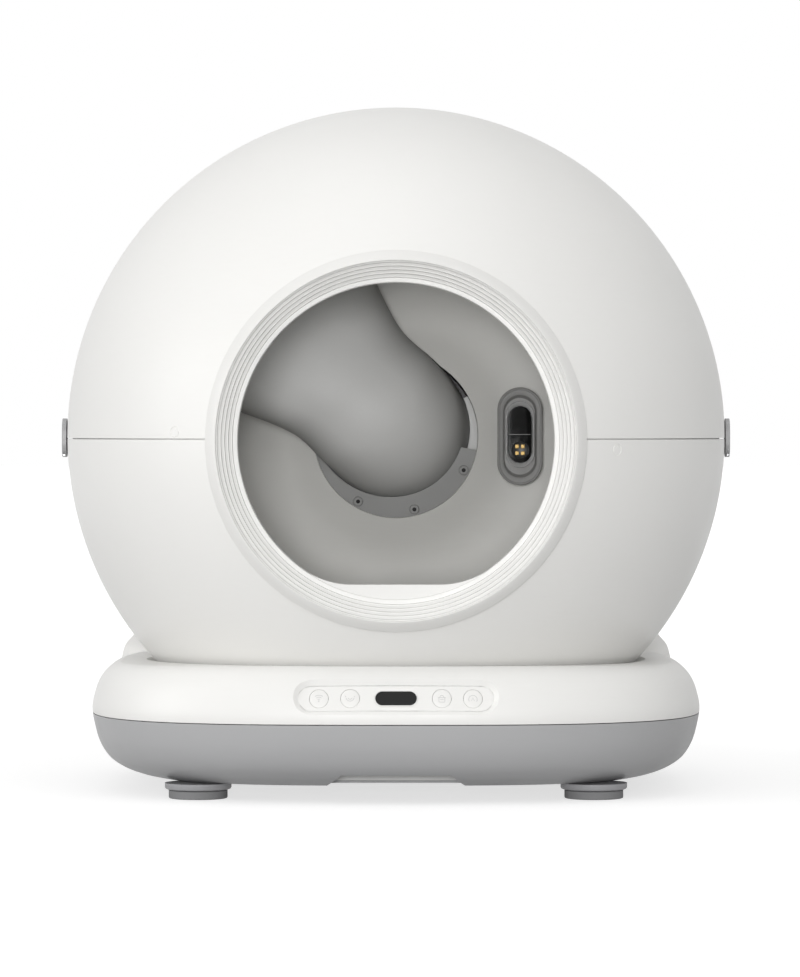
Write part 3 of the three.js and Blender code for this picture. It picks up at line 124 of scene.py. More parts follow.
class DrumSizes(bpy.types.PropertyGroup):
    """Sizes of the drum and its chute"""

    wall: length("Wall", "Wall of the drum", 2.5)
    radius: length("Radius", "Widest inner radius of the drum", 212)
    mouth: length("Mouth", "Radius of the drum's mouth", 150)
    front: length("Front", "Front of the mouth before the centre", 206)
    track: length("Track", "Length of the roller track", 14)
    dish: length("Dish", "Deepest place of the back wall", 119)
    hub_bore: length("Hub bore", "Radius of the hub's bore", 72)
    hub_edge: length("Hub edge", "Front edge of the hub's bore", 100)
    hub_end: length("Hub end", "Rear end of the hub", 213)
    tube: length("Chute tube", "Radius of the chute in the hub", 64.3)
    rise: length("Chute rise", "Chute's tube above the hub's axis", 6.6)
    lean: angle("Chute lean", "Direction of the chute's lobe", 134)
    reach: length("Chute reach", "How far the lobe reaches outwards", 148)
    wide: length("Chute width", "Half width of the open end", 96)
    thin: length("Chute thickness", "Half thickness of the open end", 50)
    tilt: angle("Chute tilt", "Turn of the open end about its path", 24)


class SensorSizes(bpy.types.PropertyGroup):
    """Sizes of the sensor module"""

    place: length("Place", "Centre beside the hub", 108.4)
    drop: length("Drop", "Centre below the hub's", 0.5)
    width: length("Width", "Outer width of the surround", 39.3)
    height: length("Height", "Outer height of the surround", 85.7)
    front: length("Front", "Front face behind the centre", 101)
    bezel_width: length("Bezel width", "Outer width of the bright bezel", 25.4)
    bezel_height: length("Bezel height", "Outer height of the bright bezel", 58.3)
    bezel_rise: length("Bezel rise", "Middle of the bezel above the surround's", 1.6)
    lens_width: length("Lens width", "Width of the dark lens", 20.1)
    lens_height: length("Lens height", "Height of the dark lens", 49.4)
    contact_drop: length("Contact drop", "Contacts below the lens's middle", 13.4)
    contact_pitch: length("Contact pitch", "Distance between contacts", 5)
    contact_rise: length("Contact rise", "Distance between the two rows of contacts", 5.9)


class BaseSizes(bpy.types.PropertyGroup):
    """Sizes of the base and its rear tower"""

    half_width: length("Half width", "Half of the base's width", 256.3)
    half_depth: length("Half depth", "Half of the base's depth", 253)
    rear_flat: length("Rear flat", "Flat of the base's rear behind the middle", 251.9)
    bottom: length("Bottom", "Underside above the floor", 13)
    wall: length("Wall", "Wall of the shells", 3)
    split: length("Split", "Height of the line between white and grey", 65)
    split_gap: length("Split gap", "Gap between the upper and lower shells", 0.7)
    rim: length("Rim", "Height of the rim", 106)
    rim_rise: length("Rim rise", "Rise of the rim at the front", 5)
    cradle_gap: length("Cradle gap", "Gap round the globe", 5)
    tower_top: length("Tower top", "Height of the rear tower", 392)
    tower_half: length("Tower half width", "Half width of the tower's foot", 246)
    drawer_seam: length("Drawer seam", "Rear edge of the drawer's front", -120)
    grip_top: length("Grip top", "Half width of the finger recess's top", 44)
    grip_bottom: length("Grip bottom", "Half width of the finger recess's bottom", 56)
    grip_height: length("Grip height", "Height of the finger recess", 10.3)
    foot_x: length("Foot X", "Feet beside the middle", 162)
    foot_y: length("Foot Y", "Feet before and behind the middle", 165)
    foot_radius: length("Foot radius", "Radius of a foot's flange", 27.3)
    pad_radius: length("Pad radius", "Radius of a foot's pad", 24.1)


class PanelSizes(bpy.types.PropertyGroup):
    """Sizes of the control panel"""

    width: length("Width", "Width of the panel's recess", 162)
    height: length("Height", "Height of the panel's recess", 31.3)
    end_slope: length("End slope", "Width of the recess's slope at its ends", 2.7)
    slope: length("Slope", "Width of the recess's slope at its top and bottom", 4.9)
    sink: length("Sink", "Depth of the panel below the base's surface", 2.4)
    centre: length("Centre", "Height of the panel's centre", 87)
    lean: angle("Lean", "Lean of the panel", 20)
    button_radius: length("Button radius", "Radius of a button", 7.8)
    display_width: length("Display width", "Width of the display", 33.4)
    display_height: length("Display height", "Height of the display", 11.8)


class Colours(bpy.types.PropertyGroup):
    """Colours of the finishes"""

    shell: colour("Shell", "Warm white of the shells", 0.82, 0.815, 0.795)
    ring: colour("Ring", "White of the entry ring", 0.77, 0.765, 0.745)
    lower: colour("Lower shell", "Light grey of the lower base", 0.41, 0.412, 0.418)
    liner: colour("Liner", "Warm grey of the drum", 0.69, 0.685, 0.66)
    chute: colour("Chute", "Mid grey of the chute", 0.68, 0.68, 0.67)
    flange: colour("Flange", "Darker grey of the flange", 0.26, 0.26, 0.255)
    surround: colour("Surround", "Dark grey of the sensor's surround", 0.26, 0.257, 0.252)
    latch: colour("Latch", "Grey of the latches", 0.34, 0.34, 0.345)
    foot: colour("Foot", "Grey of the feet", 0.33, 0.33, 0.34)
    pad: colour("Pad", "Grey of the soft pads", 0.24, 0.24, 0.245)
    black: colour("Black", "Gloss black of lens and display", 0.006, 0.006, 0.006)
    icon: colour("Icon", "Pale grey of the icons", 0.58, 0.58, 0.57)


class LitterBoxSettings(bpy.types.PropertyGroup):
    """All sizes and colours of the litter box"""

    globe: bpy.props.PointerProperty(type=GlobeSizes)
    ring: bpy.props.PointerProperty(type=RingSizes)
    drum: bpy.props.PointerProperty(type=DrumSizes)
    sensor: bpy.props.PointerProperty(type=SensorSizes)
    base: bpy.props.PointerProperty(type=BaseSizes)
    panel: bpy.props.PointerProperty(type=PanelSizes)
    colours: bpy.props.PointerProperty(type=Colours)


def settings():
    """The litter box's settings in this scene."""
    return bpy.context.scene.litter_box


# Section shares of the base from its bottom to its rim: height, width, depth
BASE_SHARES = (
    (0, 0.81, 0.81), (0.03, 0.855, 0.855), (0.085, 0.905, 0.905), (0.17, 0.947, 0.947),
    (0.3, 0.976, 0.976), (0.45, 0.992, 0.992), (0.6, 1, 1), (0.72, 0.993, 0.992),
    (0.85, 0.976, 0.975), (0.94, 0.951, 0.95), (0.98, 0.93, 0.932), (1, 0.908, 0.918),
)
# Section shares of the tower: height above the split, half width, front edge towards the back
TOWER_SHARES = (
    (0, 1, 0.3), (0.13, 0.995, 0.42), (0.18, 0.958, 0.55), (0.36, 0.87, 0.69), (0.56, 0.75, 0.75),
    (0.78, 0.6, 0.77), (0.92, 0.47, 0.785), (0.985, 0.36, 0.8), (1, 0.28, 0.81),
)
# Points of the drum's inner profile: radius share, share of the way from mouth to dish
DRUM_SHARES = (
    (0.8, 0.08), (0.9, 0.19), (0.97, 0.34), (1, 0.53), (0.985, 0.69), (0.93, 0.83), (0.84, 0.92),
    (0.73, 0.975), (0.6, 1), (0.48, 0.99),
)
# Stations of the chute's lobe: reach, place behind the centre, half width, half thickness
CHUTE_SHARES = (
    (0, 1.34, 0.672, 1.29), (0.053, 1.1, 0.68, 1.22), (0.192, 0.92, 0.68, 1.12),
    (0.405, 0.85, 0.7, 1.04), (0.705, 0.775, 0.88, 1), (1, 0.64, 1.1, 1),
)
# Powers of the rounded squares: 2 is an ellipse, more is squarer
BASE_POWER = 3.1
TOWER_POWER = 4
# Buttons beside the panel's middle
BUTTON_PLACES = (-61.8 * MM, -36.8 * MM, 36.8 * MM, 61.7 * MM)
# Screw bosses of the hub's flange, in degrees round the hub, and their distance from its axis
BOSS_ANGLES = (-120, -76, -27)
BOSS_CIRCLE = 66.4 * MM
# Moulded circles by the seam: beside and above the globe's centre
UPPER_MARK = (-178.5 * MM, 3.5 * MM)
LOWER_MARK = (178.5 * MM, -10.5 * MM)
MARK_THICKNESS = 0.6 * MM
TONGUE_WALL = 1.5 * MM
TONGUE_REACH = 2 * MM
LATCH_ROUNDING = 2.2 * MM
# Holes in the base's upper shell for the hub and the inlet, and the drawer's rails beside the middle
HUB_HOLE = 81.8 * MM
INLET_HOLE = 7.4 * MM
RAIL_PLACE = 152.4 * MM
RAIL_HALF = 2 * MM
RAIL_LENGTH = 300 * MM
RAIL_HEIGHT = 12 * MM
# Ring: step and rise of its ribs, the first one's place, the sill's depth in the tube, the gap to the globe
RIB_STEP = 2.95 * MM
RIB_RISE = 3.25 * MM
RIB_START = 0.25 * MM
RIB_LEVEL = 2.7 * MM
SILL_DEPTH = 6.4 * MM
SEAT_GAP = 0.7 * MM
# Sensor: land round its pocket, depths of its frames behind its front face, contacts' well and pads
POCKET_SIDE = 5.3 * MM
POCKET_END = 7 * MM
SURROUND_DEPTH = 14 * MM
BEZEL_DEPTH = 5 * MM
LENS_DEPTH = 4 * MM
CONTACT_WELL = 7.9 * MM
PAD_HALF = 1.7 * MM
# Panel: how much wider than the display its window and its lip are, and depth of a button's cap
WINDOW_LAND = 1.8 * MM
LIP_LAND = 1.6 * MM
CAP_DEPTH = 2.4 * MM
# Scale, line width and relief of the buttons' icons
ICON_UNIT = 1.25 * MM
ICON_LINE = 0.5 * MM
ICON_RELIEF = 0.12 * MM
# Share of the base's half depth at which the middle of the panel lies
PANEL_SHARE = 0.983
# Lamps: name, place in metres, size in metres, power in watts, and the point that they face
LAMPS = (
    ("front", (-0.2, -4.05, 0.42), 0.6, 64),
    ("side", (-3.4, -1.0, 0.9), 2.0, 31),
    ("top", (0.0, -0.2, 3.2), 2.4, 12),
)
LAMP_TARGET = Vector((0, 0, 0.25))
# Sky light: the side it comes from, and its strength behind the object and before it
SKY_SIDE = (-0.1, -0.8, 0.5)
SKY_BEHIND = 0.25
SKY_BEFORE = 0.75
# Floor: grey that takes the shadow, its glow beside the object, and from where to where it grows to white
FLOOR_GREY = 0.42
FLOOR_GLOW = 0.68
FLOOR_NEAR = 0.5
FLOOR_FAR = 2.2
# Camera: place in metres, focal length in millimetres, and shift as shares of the frame
CAMERA_PLACE = (0, -4.008, 0.3054)
CAMERA_LENS = 172.9
CAMERA_SHIFT = (0.0041, -0.065)
# Overruns of cutting forms past what they cut
OVERRUN = 10 * MM
LONG_OVERRUN = 20 * MM
# Clearance between a form and the piece that it is cut out of
CLEARANCE = 0.5 * MM


# Modelling helpers


def leave():
    """Back to object mode with nothing selected."""
    if bpy.context.object and bpy.context.object.mode != "OBJECT":
        bpy.ops.object.mode_set(mode="OBJECT")
    bpy.ops.object.select_all(action="DESELECT")


def focus(piece):
    """Only this piece selected and active."""
    leave()
    piece.select_set(True)
    bpy.context.view_layer.objects.active = piece


def edit(piece):
    """Edit mode with the whole mesh selected."""
    focus(piece)
    bpy.ops.object.mode_set(mode="EDIT")
    bpy.ops.mesh.select_all(action="SELECT")


def settle(piece):
    """The piece's place goes into its mesh."""
    focus(piece)
    bpy.ops.object.transform_apply(location=True, rotation=True, scale=True)
    return piece


def tidy(piece, merge=0.01 * MM):
    """Doubles merged and faces turned outwards."""
    edit(piece)
    bpy.ops.mesh.remove_doubles(threshold=merge)
    bpy.ops.mesh.normals_make_consistent(inside=False)
    leave()
    return piece


def from_points(name, points, edges=(), faces=()):
    """A mesh object from worked out points."""
    mesh = bpy.data.meshes.new(name)
    mesh.from_pydata([tuple(point) for point in points], list(edges), list(faces))
    mesh.update()
    piece = bpy.data.objects.new(name, mesh)
    bpy.context.scene.collection.objects.link(piece)
    return piece


def modify(piece, kind, **values):
    """Adds one modifier with these values and applies it."""
    focus(piece)
    bpy.ops.object.modifier_add(type=kind)
    modifier = piece.modifiers[-1]
    for key, value in values.items():
        setattr(modifier, key, value)
    bpy.ops.object.modifier_apply(modifier=modifier.name)
    return piece


def combine(piece, tool, operation="DIFFERENCE"):
    """Cuts, joins or intersects a piece with a tool, which it uses up."""
    modify(piece, "BOOLEAN", operation=operation, object=tool, solver="EXACT")
    bpy.data.objects.remove(tool)
    return piece


def copy_of(piece, name):
    """A copy with its own mesh."""
    copy = piece.copy()
    copy.data = piece.data.copy()
    copy.name = name
    copy.data.name = name
    bpy.context.scene.collection.objects.link(copy)
    return copy


def split(piece, point, normal):
    """Keeps what lies behind a plane, and closes the cut."""
    edit(piece)
    bpy.ops.mesh.bisect(
        plane_co=point, plane_no=normal, use_fill=True, clear_outer=True, clear_inner=False,
        threshold=0.001 * MM,
    )
    leave()
    return piece


def soften(piece, width, segments=2, limit=30):
    """Rounds every edge that is sharper than the limit."""
    return modify(
        piece, "BEVEL", width=width, segments=segments, limit_method="ANGLE",
        angle_limit=math.radians(limit), use_clamp_overlap=True, harden_normals=False,
    )


def smooth(piece, limit=32):
    """Smooth shading with edges kept above the limit."""
    focus(piece)
    bpy.ops.object.shade_smooth_by_angle(angle=math.radians(limit))
    leave()
    return piece


def block(name, low, high):
    """A block between two corners, as a cutting tool or a start."""
    leave()
    low, high = Vector(low), Vector(high)
    bpy.ops.mesh.primitive_cube_add(size=1, location=(low + high) / 2)
    piece = bpy.context.object
    piece.name = name
    piece.scale = high - low
    return settle(piece)


def rod(name, radius, front, back, centre, sides=96):
    """A round rod along Y."""
    leave()
    bpy.ops.mesh.primitive_cylinder_add(
        vertices=sides, radius=radius, depth=back - front,
        location=(centre[0], centre[1] + (front + back) / 2, centre[2]),
        rotation=(math.pi / 2, 0, 0),
    )
    piece = bpy.context.object
    piece.name = name
    return settle(piece)


def turned(name, outline, centre, steps=160, closed=True):
    """A piece spun about Y from an outline of radius and place along Y."""
    points = [(centre[0] + radius, centre[1] + along, centre[2]) for radius, along in outline]
    edges = [(i, i + 1) for i in range(len(points) - 1)]
    if closed:
        edges.append((len(points) - 1, 0))
    piece = from_points(name, points, edges)
    edit(piece)
    bpy.ops.mesh.spin(steps=steps, angle=2 * math.pi, center=centre, axis=(0, 1, 0))
    leave()
    return tidy(piece)


def arc(centre_a, centre_b, radius, start, end, steps):
    """Points of an arc in an outline."""
    turns = [start + (end - start) * i / steps for i in range(steps + 1)]
    return [(centre_a + radius * math.cos(t), centre_b + radius * math.sin(t)) for t in turns]


def flowing(points, steps):
    """Centripetal curve through points, and its direction at each of them."""
    points = [Vector(point) for point in points]
    ends = [2 * points[0] - points[1]] + points + [2 * points[-1] - points[-2]]
    line, directions = [], []
    for i in range(1, len(points)):
        a, b, c, d = ends[i - 1:i + 3]
        first, middle, last = ((q - p).length ** 0.5 for p, q in ((a, b), (b, c), (c, d)))
        one = ((b - a) / first - (c - a) / (first + middle) + (c - b) / middle) * middle
        two = ((c - b) / middle - (d - b) / (middle + last) + (d - c) / last) * middle
        for k in range(steps):
            t = k / steps
            line.append(b + one * t + (-3 * b + 3 * c - 2 * one - two) * t * t
                        + (2 * b - 2 * c + one + two) * t ** 3)
        directions.append(one.normalized())
    line.append(points[-1])
    directions.append(two.normalized())
    return line, directions


def loft(name, rings, capped=True):
    """Skin over rings of equally many points."""
    size = len(rings[0])
    points = [point for ring in rings for point in ring]
    faces = []
    for i in range(len(rings) - 1):
        for k in range(size):
            after = (k + 1) % size
            faces.append((i * size + k, i * size + after, (i + 1) * size + after, (i + 1) * size + k))
    if capped:
        faces.append(tuple(reversed(range(size))))
        faces.append(tuple(range((len(rings) - 1) * size, len(rings) * size)))
    return tidy(from_points(name, points, faces=faces))


def rounded_plan(half_x, half_y, power, steps):
    """Outline of a rounded square, evenly spaced by angle."""
    points = []
    for i in range(steps):
        turn = 2 * math.pi * i / steps
        across, along = math.cos(turn), math.sin(turn)
        reach = (abs(across / half_x) ** power + abs(along / half_y) ** power) ** (-1 / power)
        points.append((reach * across, reach * along))
    return points


def pill(name, width, height, front, back, taper=0.0, columns=64, rows=6, high_taper=None):
    """A pill shaped slab facing -Y, its back smaller by the tapers at its ends and along its sides."""
    high_taper = taper if high_taper is None else high_taper
    points, faces = [], []
    places = [-math.cos(math.pi * i / columns) for i in range(columns + 1)]
    for depth, share_back in ((front, 0), (back, 1)):
        half, long = height / 2 - high_taper * share_back, width / 2 - taper * share_back
        for share in places:
            x = long * share
            beyond = max(0.0, abs(x) - (long - half))
            tall = math.sqrt(max(half * half - beyond * beyond, 0.0))
            for row in range(rows + 1):
                points.append((x, depth, tall * (2 * row / rows - 1)))
    stride = rows + 1
    layer = (columns + 1) * stride
    for i in range(columns):
        for row in range(rows):
            near = i * stride + row
            faces.append((near, near + stride, near + stride + 1, near + 1))
            far = layer + near
            faces.append((far, far + 1, far + stride + 1, far + stride))
        for row in (0, rows):
            near = i * stride + row
            faces.append((near, layer + near, layer + near + stride, near + stride))
    for i in (0, columns):
        for row in range(rows):
            near = i * stride + row
            faces.append((near, near + 1, layer + near + 1, layer + near))
    return tidy(from_points(name, points, faces=faces))


def place(piece, matrix):
    """Moves a piece's mesh by a matrix."""
    piece.data.transform(matrix)
    return piece


def cover(piece, material):
    """Gives all of a piece one material."""
    piece.data.materials.clear()
    piece.data.materials.append(material)
    for face in piece.data.polygons:
        face.material_index = 0


def finish(piece, body, slot, material, *nodes):
    """Gives a piece its material and body, and hides the CAD nodes that it stands for; the slot is not used.
    """
    cover(piece, material)
    leave()
    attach(piece, body)
    if nodes:
        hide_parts(*nodes)
    return piece


def dress(material, *nodes):
    """A finish for CAD nodes whose shape stays."""
    for node in nodes:
        cover(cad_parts[node], material)


# Finishes


def group_with(name, inputs, outputs):
    """An empty node group with named inputs and outputs."""
    group = bpy.data.node_groups.new(name, "ShaderNodeTree")
    for label, kind, default in inputs:
        socket = group.interface.new_socket(name=label, in_out="INPUT", socket_type=kind)
        if default is not None:
            socket.default_value = default
    for label, kind in outputs:
        group.interface.new_socket(name=label, in_out="OUTPUT", socket_type=kind)
    return group, group.nodes.new("NodeGroupInput"), group.nodes.new("NodeGroupOutput")


def wave_between(group, vector, scale, detail, low, high, stretch=None):
    """Noise mapped between two values."""
    if stretch:
        mapping = group.nodes.new("ShaderNodeMapping")
        mapping.inputs["Scale"].default_value = stretch
        group.links.new(vector, mapping.inputs["Vector"])
        vector = mapping.outputs["Vector"]
    noise = group.nodes.new("ShaderNodeTexNoise")
    noise.inputs["Detail"].default_value = detail
    if isinstance(scale, (int, float)):
        noise.inputs["Scale"].default_value = scale
    else:
        group.links.new(scale, noise.inputs["Scale"])
    group.links.new(vector, noise.inputs["Vector"])
    spread = group.nodes.new("ShaderNodeMapRange")
    spread.inputs["From Min"].default_value = 0.25
    spread.inputs["From Max"].default_value = 0.75
    for socket, value in (("To Min", low), ("To Max", high)):
        if isinstance(value, (int, float)):
            spread.inputs[socket].default_value = value
        else:
            group.links.new(value, spread.inputs[socket])
    group.links.new(noise.outputs["Fac"], spread.inputs["Value"])
    return spread.outputs["Result"]


def sums(group, operation, one, two):
    """A maths node of two values or sockets."""
    node = group.nodes.new("ShaderNodeMath")
    node.operation = operation
    for socket, value in zip(node.inputs, (one, two)):
        if isinstance(value, (int, float)):
            socket.default_value = value
        else:
            group.links.new(value, socket)
    return node.outputs["Value"]


def moulded_group():
    """Moulded plastic: spark eroded grain, slow tint changes and handled patches."""
    existing = bpy.data.node_groups.get("moulded_plastic")
    if existing:
        return existing
    group, start, end = group_with(
        "moulded_plastic",
        (("Vector", "NodeSocketVector", None), ("Colour", "NodeSocketColor", (0.8, 0.8, 0.8, 1)),
         ("Grain", "NodeSocketFloat", 900.0), ("Mottle", "NodeSocketFloat", 0.02),
         ("Roughness", "NodeSocketFloat", 0.4), ("Spread", "NodeSocketFloat", 0.05)),
        (("Colour", "NodeSocketColor"), ("Roughness", "NodeSocketFloat"), ("Height", "NodeSocketFloat")),
    )
    link = group.links.new
    vector = start.outputs["Vector"]
    low = sums(group, "SUBTRACT", 1.0, start.outputs["Mottle"])
    high = sums(group, "ADD", 1.0, start.outputs["Mottle"])
    tone = wave_between(group, vector, 9.0, 3.0, low, high)
    tint = group.nodes.new("ShaderNodeHueSaturation")
    link(start.outputs["Colour"], tint.inputs["Color"])
    link(tone, tint.inputs["Value"])
    link(tint.outputs["Color"], end.inputs["Colour"])
    rough_low = sums(group, "SUBTRACT", start.outputs["Roughness"], start.outputs["Spread"])
    rough_high = sums(group, "ADD", start.outputs["Roughness"], start.outputs["Spread"])
    link(wave_between(group, vector, 26.0, 4.0, rough_low, rough_high), end.inputs["Roughness"])
    grain = wave_between(group, vector, start.outputs["Grain"], 2.0, 0.0, 1.0)
    flow = wave_between(group, vector, 14.0, 1.0, 0.0, 1.0)
    link(sums(group, "ADD", grain, sums(group, "MULTIPLY", flow, 0.5)), end.inputs["Height"])
    return group


def scuff_group():
    """Fine rubbed streaks that change tint and gloss a little."""
    existing = bpy.data.node_groups.get("rubbed_streaks")
    if existing:
        return existing
    group, start, end = group_with(
        "rubbed_streaks",
        (("Vector", "NodeSocketVector", None), ("Colour", "NodeSocketColor", (0.8, 0.8, 0.8, 1)),
         ("Roughness", "NodeSocketFloat", 0.4), ("Amount", "NodeSocketFloat", 0.5)),
        (("Colour", "NodeSocketColor"), ("Roughness", "NodeSocketFloat")),
    )
    link = group.links.new
    streaks = wave_between(group, start.outputs["Vector"], 60.0, 5.0, 0.0, 1.0, (1.0, 1.0, 9.0))
    patches = wave_between(group, start.outputs["Vector"], 5.0, 2.0, 0.0, 1.0)
    mask = sums(group, "MULTIPLY", sums(group, "MULTIPLY", streaks, patches), start.outputs["Amount"])
    dull = group.nodes.new("ShaderNodeMix")
    dull.data_type = "RGBA"
    dull.blend_type = "MULTIPLY"
    colour_in = [s for s in dull.inputs if s.type == "RGBA"]
    link(mask, dull.inputs["Factor"])
    link(start.outputs["Colour"], colour_in[0])
    colour_in[1].default_value = (0.95, 0.945, 0.935, 1)
    link([s for s in dull.outputs if s.type == "RGBA"][0], end.inputs["Colour"])
    link(sums(group, "ADD", start.outputs["Roughness"], sums(group, "MULTIPLY", mask, 0.12)),
         end.inputs["Roughness"])
    return group


def plastic(name, tint, roughness, grain, relief, mottle, spread, scuffs, specular=0.5, metallic=0.0):
    """A moulded finish of its own, with grain, slow tint changes and rubbed streaks."""
    material = bpy.data.materials.get(name)
    if material:
        return material
    material = bpy.data.materials.new(name)
    material.use_nodes = True
    tree = material.node_tree
    shader = tree.nodes["Principled BSDF"]
    coordinates = tree.nodes.new("ShaderNodeTexCoord")
    body = tree.nodes.new("ShaderNodeGroup")
    body.node_tree = moulded_group()
    body.inputs["Colour"].default_value = (*tint, 1)
    body.inputs["Grain"].default_value = grain
    body.inputs["Mottle"].default_value = mottle
    body.inputs["Roughness"].default_value = roughness
    body.inputs["Spread"].default_value = spread
    rub = tree.nodes.new("ShaderNodeGroup")
    rub.node_tree = scuff_group()
    rub.inputs["Amount"].default_value = scuffs
    bump = tree.nodes.new("ShaderNodeBump")
    bump.inputs["Strength"].default_value = 0.35
    bump.inputs["Distance"].default_value = relief * MM
    link = tree.links.new
    link(coordinates.outputs["Object"], body.inputs["Vector"])
    link(coordinates.outputs["Object"], rub.inputs["Vector"])
    link(body.outputs["Colour"], rub.inputs["Colour"])
    link(body.outputs["Roughness"], rub.inputs["Roughness"])
    link(rub.outputs["Colour"], shader.inputs["Base Color"])
    link(rub.outputs["Roughness"], shader.inputs["Roughness"])
    link(body.outputs["Height"], bump.inputs["Height"])
    link(bump.outputs["Normal"], shader.inputs["Normal"])
    shader.inputs["Metallic"].default_value = metallic
    shader.inputs["Specular IOR Level"].default_value = specular
    return material


def painted_grazing_shade(material):
    """Painted shade: darkens a finish towards near black where its surface turns away from the eye, standing
    in for shade at its grazing edges.
    """
    tree = material.node_tree
    shader = tree.nodes["Principled BSDF"]
    plain = shader.inputs["Base Color"].links[0].from_socket
    if plain.node.type == "MIX":
        return material
    weight = tree.nodes.new("ShaderNodeLayerWeight")
    weight.inputs["Blend"].default_value = 0.5
    share = tree.nodes.new("ShaderNodeMapRange")
    share.inputs["From Min"].default_value = 0.15
    share.inputs["To Max"].default_value = 0.75
    shade = tree.nodes.new("ShaderNodeMix")
    shade.data_type = "RGBA"
    bright, dark = [socket for socket in shade.inputs if socket.type == "RGBA"]
    # Painted shade: the near black that the finish fades to at grazing angles
    dark.default_value = (0.05, 0.05, 0.05, 1)
    tree.links.new(weight.outputs["Facing"], share.inputs["Value"])
    tree.links.new(share.outputs["Result"], shade.inputs["Factor"])
    tree.links.new(plain, bright)
    shaded = [socket for socket in shade.outputs if socket.type == "RGBA"][0]
    tree.links.new(shaded, shader.inputs["Base Color"])
    return material


def finishes():
    """Every finish of the litter box by name."""
    tints = settings().colours
    return {
        "shell": plastic("satin_white_shell", tints.shell, 0.42, 1100, 0.02, 0.008, 0.04, 0.25),
        "ring": plastic("satin_white_ring", tints.ring, 0.38, 1100, 0.02, 0.008, 0.04, 0.25),
        "lower": plastic("satin_grey_lower", tints.lower, 0.45, 900, 0.03, 0.012, 0.05, 0.4),
        "liner": plastic("matte_grey_liner", tints.liner, 0.56, 700, 0.05, 0.02, 0.06, 0.5),
        # The chute's finish has painted shade that darkens it towards its grazing edges
        "chute": painted_grazing_shade(plastic("matte_grey_chute", tints.chute, 0.5, 800, 0.04, 0.02, 0.06, 0.5)),
        "flange": plastic("matte_dark_flange", tints.flange, 0.55, 800, 0.04, 0.02, 0.05, 0.4),
        "surround": plastic("matte_dark_surround", tints.surround, 0.5, 900, 0.04, 0.02, 0.05, 0.4),
        "latch": plastic("satin_grey_latch", tints.latch, 0.42, 900, 0.03, 0.015, 0.05, 0.5),
        "foot": plastic("satin_grey_foot", tints.foot, 0.5, 900, 0.03, 0.02, 0.05, 0.5),
        "pad": plastic("soft_grey_pad", tints.pad, 0.8, 500, 0.12, 0.04, 0.08, 0.6, specular=0.3),
        "black": plastic("gloss_black_cover", tints.black, 0.1, 300, 0.002, 0.05, 0.03, 0.2, specular=0.35),
        "icon": plastic("pale_grey_print", tints.icon, 0.5, 900, 0.01, 0.03, 0.05, 0.2),
        "lens": plastic("deep_black_lens", tints.black, 0.05, 300, 0.001, 0.05, 0.02, 0.1, specular=0.1),
        "bezel": plastic("dark_chrome_bezel", (0.75, 0.75, 0.76), 0.25, 400, 0.005, 0.03, 0.05, 0.4,
                         metallic=0.6),
        "gold": plastic("gold_pad", (0.36, 0.25, 0.1), 0.45, 600, 0.02, 0.05, 0.08, 0.5, metallic=1.0),
        "screw": plastic("blackened_screw", (0.03, 0.03, 0.03), 0.5, 500, 0.03, 0.05, 0.1, 0.8, specular=0.2),
        "steel": plastic("plain_steel", (0.4, 0.4, 0.41), 0.38, 500, 0.03, 0.05, 0.1, 0.8, metallic=1.0),
        "gear": plastic("natural_gear", (0.62, 0.6, 0.52), 0.45, 700, 0.03, 0.03, 0.06, 0.5),
        "roller": plastic("dark_roller", (0.05, 0.05, 0.05), 0.5, 700, 0.05, 0.05, 0.08, 0.6),
        "circuit": plastic("circuit_green", (0.02, 0.11, 0.05), 0.35, 200, 0.02, 0.1, 0.08, 0.4),
        "carbon": plastic("carbon_filter", (0.02, 0.02, 0.02), 0.9, 180, 0.6, 0.2, 0.06, 0.4),
        "socket": plastic("socket_black", (0.02, 0.02, 0.02), 0.4, 700, 0.04, 0.05, 0.06, 0.5),
    }


# Shapes shared by several pieces


def globe_centre():
    """Centre of the globe."""
    sizes = settings().globe
    return Vector((0, sizes.setback, sizes.height))


def ring_centre():
    """Centre of the entry ring, a little below the globe's."""
    return globe_centre() - Vector((0, 0, settings().ring.drop))


def ring_space(name, gap):
    """Cutting form of the hole that the entry ring plugs into."""
    front = -settings().globe.radius * 1.1
    return rod(name, settings().ring.spigot + gap, front, 0, ring_centre(), 160)


def globe_outline(inset):
    """Outline of the globe from its front pole to the edge of the back hole."""
    sizes = settings().globe
    radius, back = sizes.radius - inset, sizes.flat_back - inset
    fillet = sizes.back_fillet - inset
    along = back - fillet
    out = math.sqrt((radius - fillet) ** 2 - along ** 2)
    end = math.pi - math.atan2(out, along)
    points = [(radius * math.sin(end * i / 84), -radius * math.cos(end * i / 84)) for i in range(85)]
    points += arc(out, along, fillet, math.atan2(along, out), math.pi / 2, 8)[1:]
    points.append((out * 0.8, back))
    points.append((sizes.back_hole, back))
    return points


def base_form(name, inset=0.0, lift=None, lower=None, steps=144):
    """Outer form of the base, drawn in by a wall where it is used as a core."""
    sizes = settings().base
    lift = inset if lift is None else lift
    lower = inset if lower is None else lower
    span = sizes.rim - sizes.bottom
    line, _ = flowing([(h * span, w * sizes.half_width, d * sizes.half_depth)
                       for h, w, d in BASE_SHARES], 5)
    rings = []
    for high, wide, deep in line:
        share = high / span
        half_x, half_y = wide - inset, deep - inset
        ring = []
        for x, y in rounded_plan(half_x, half_y, BASE_POWER, steps):
            ahead = max(0.0, -y / half_y)
            top = span + sizes.rim_rise * ahead * ahead
            ring.append((x, y, sizes.bottom + lift + (top - lift - lower) * share))
        rings.append(ring)
    return loft(name, rings)


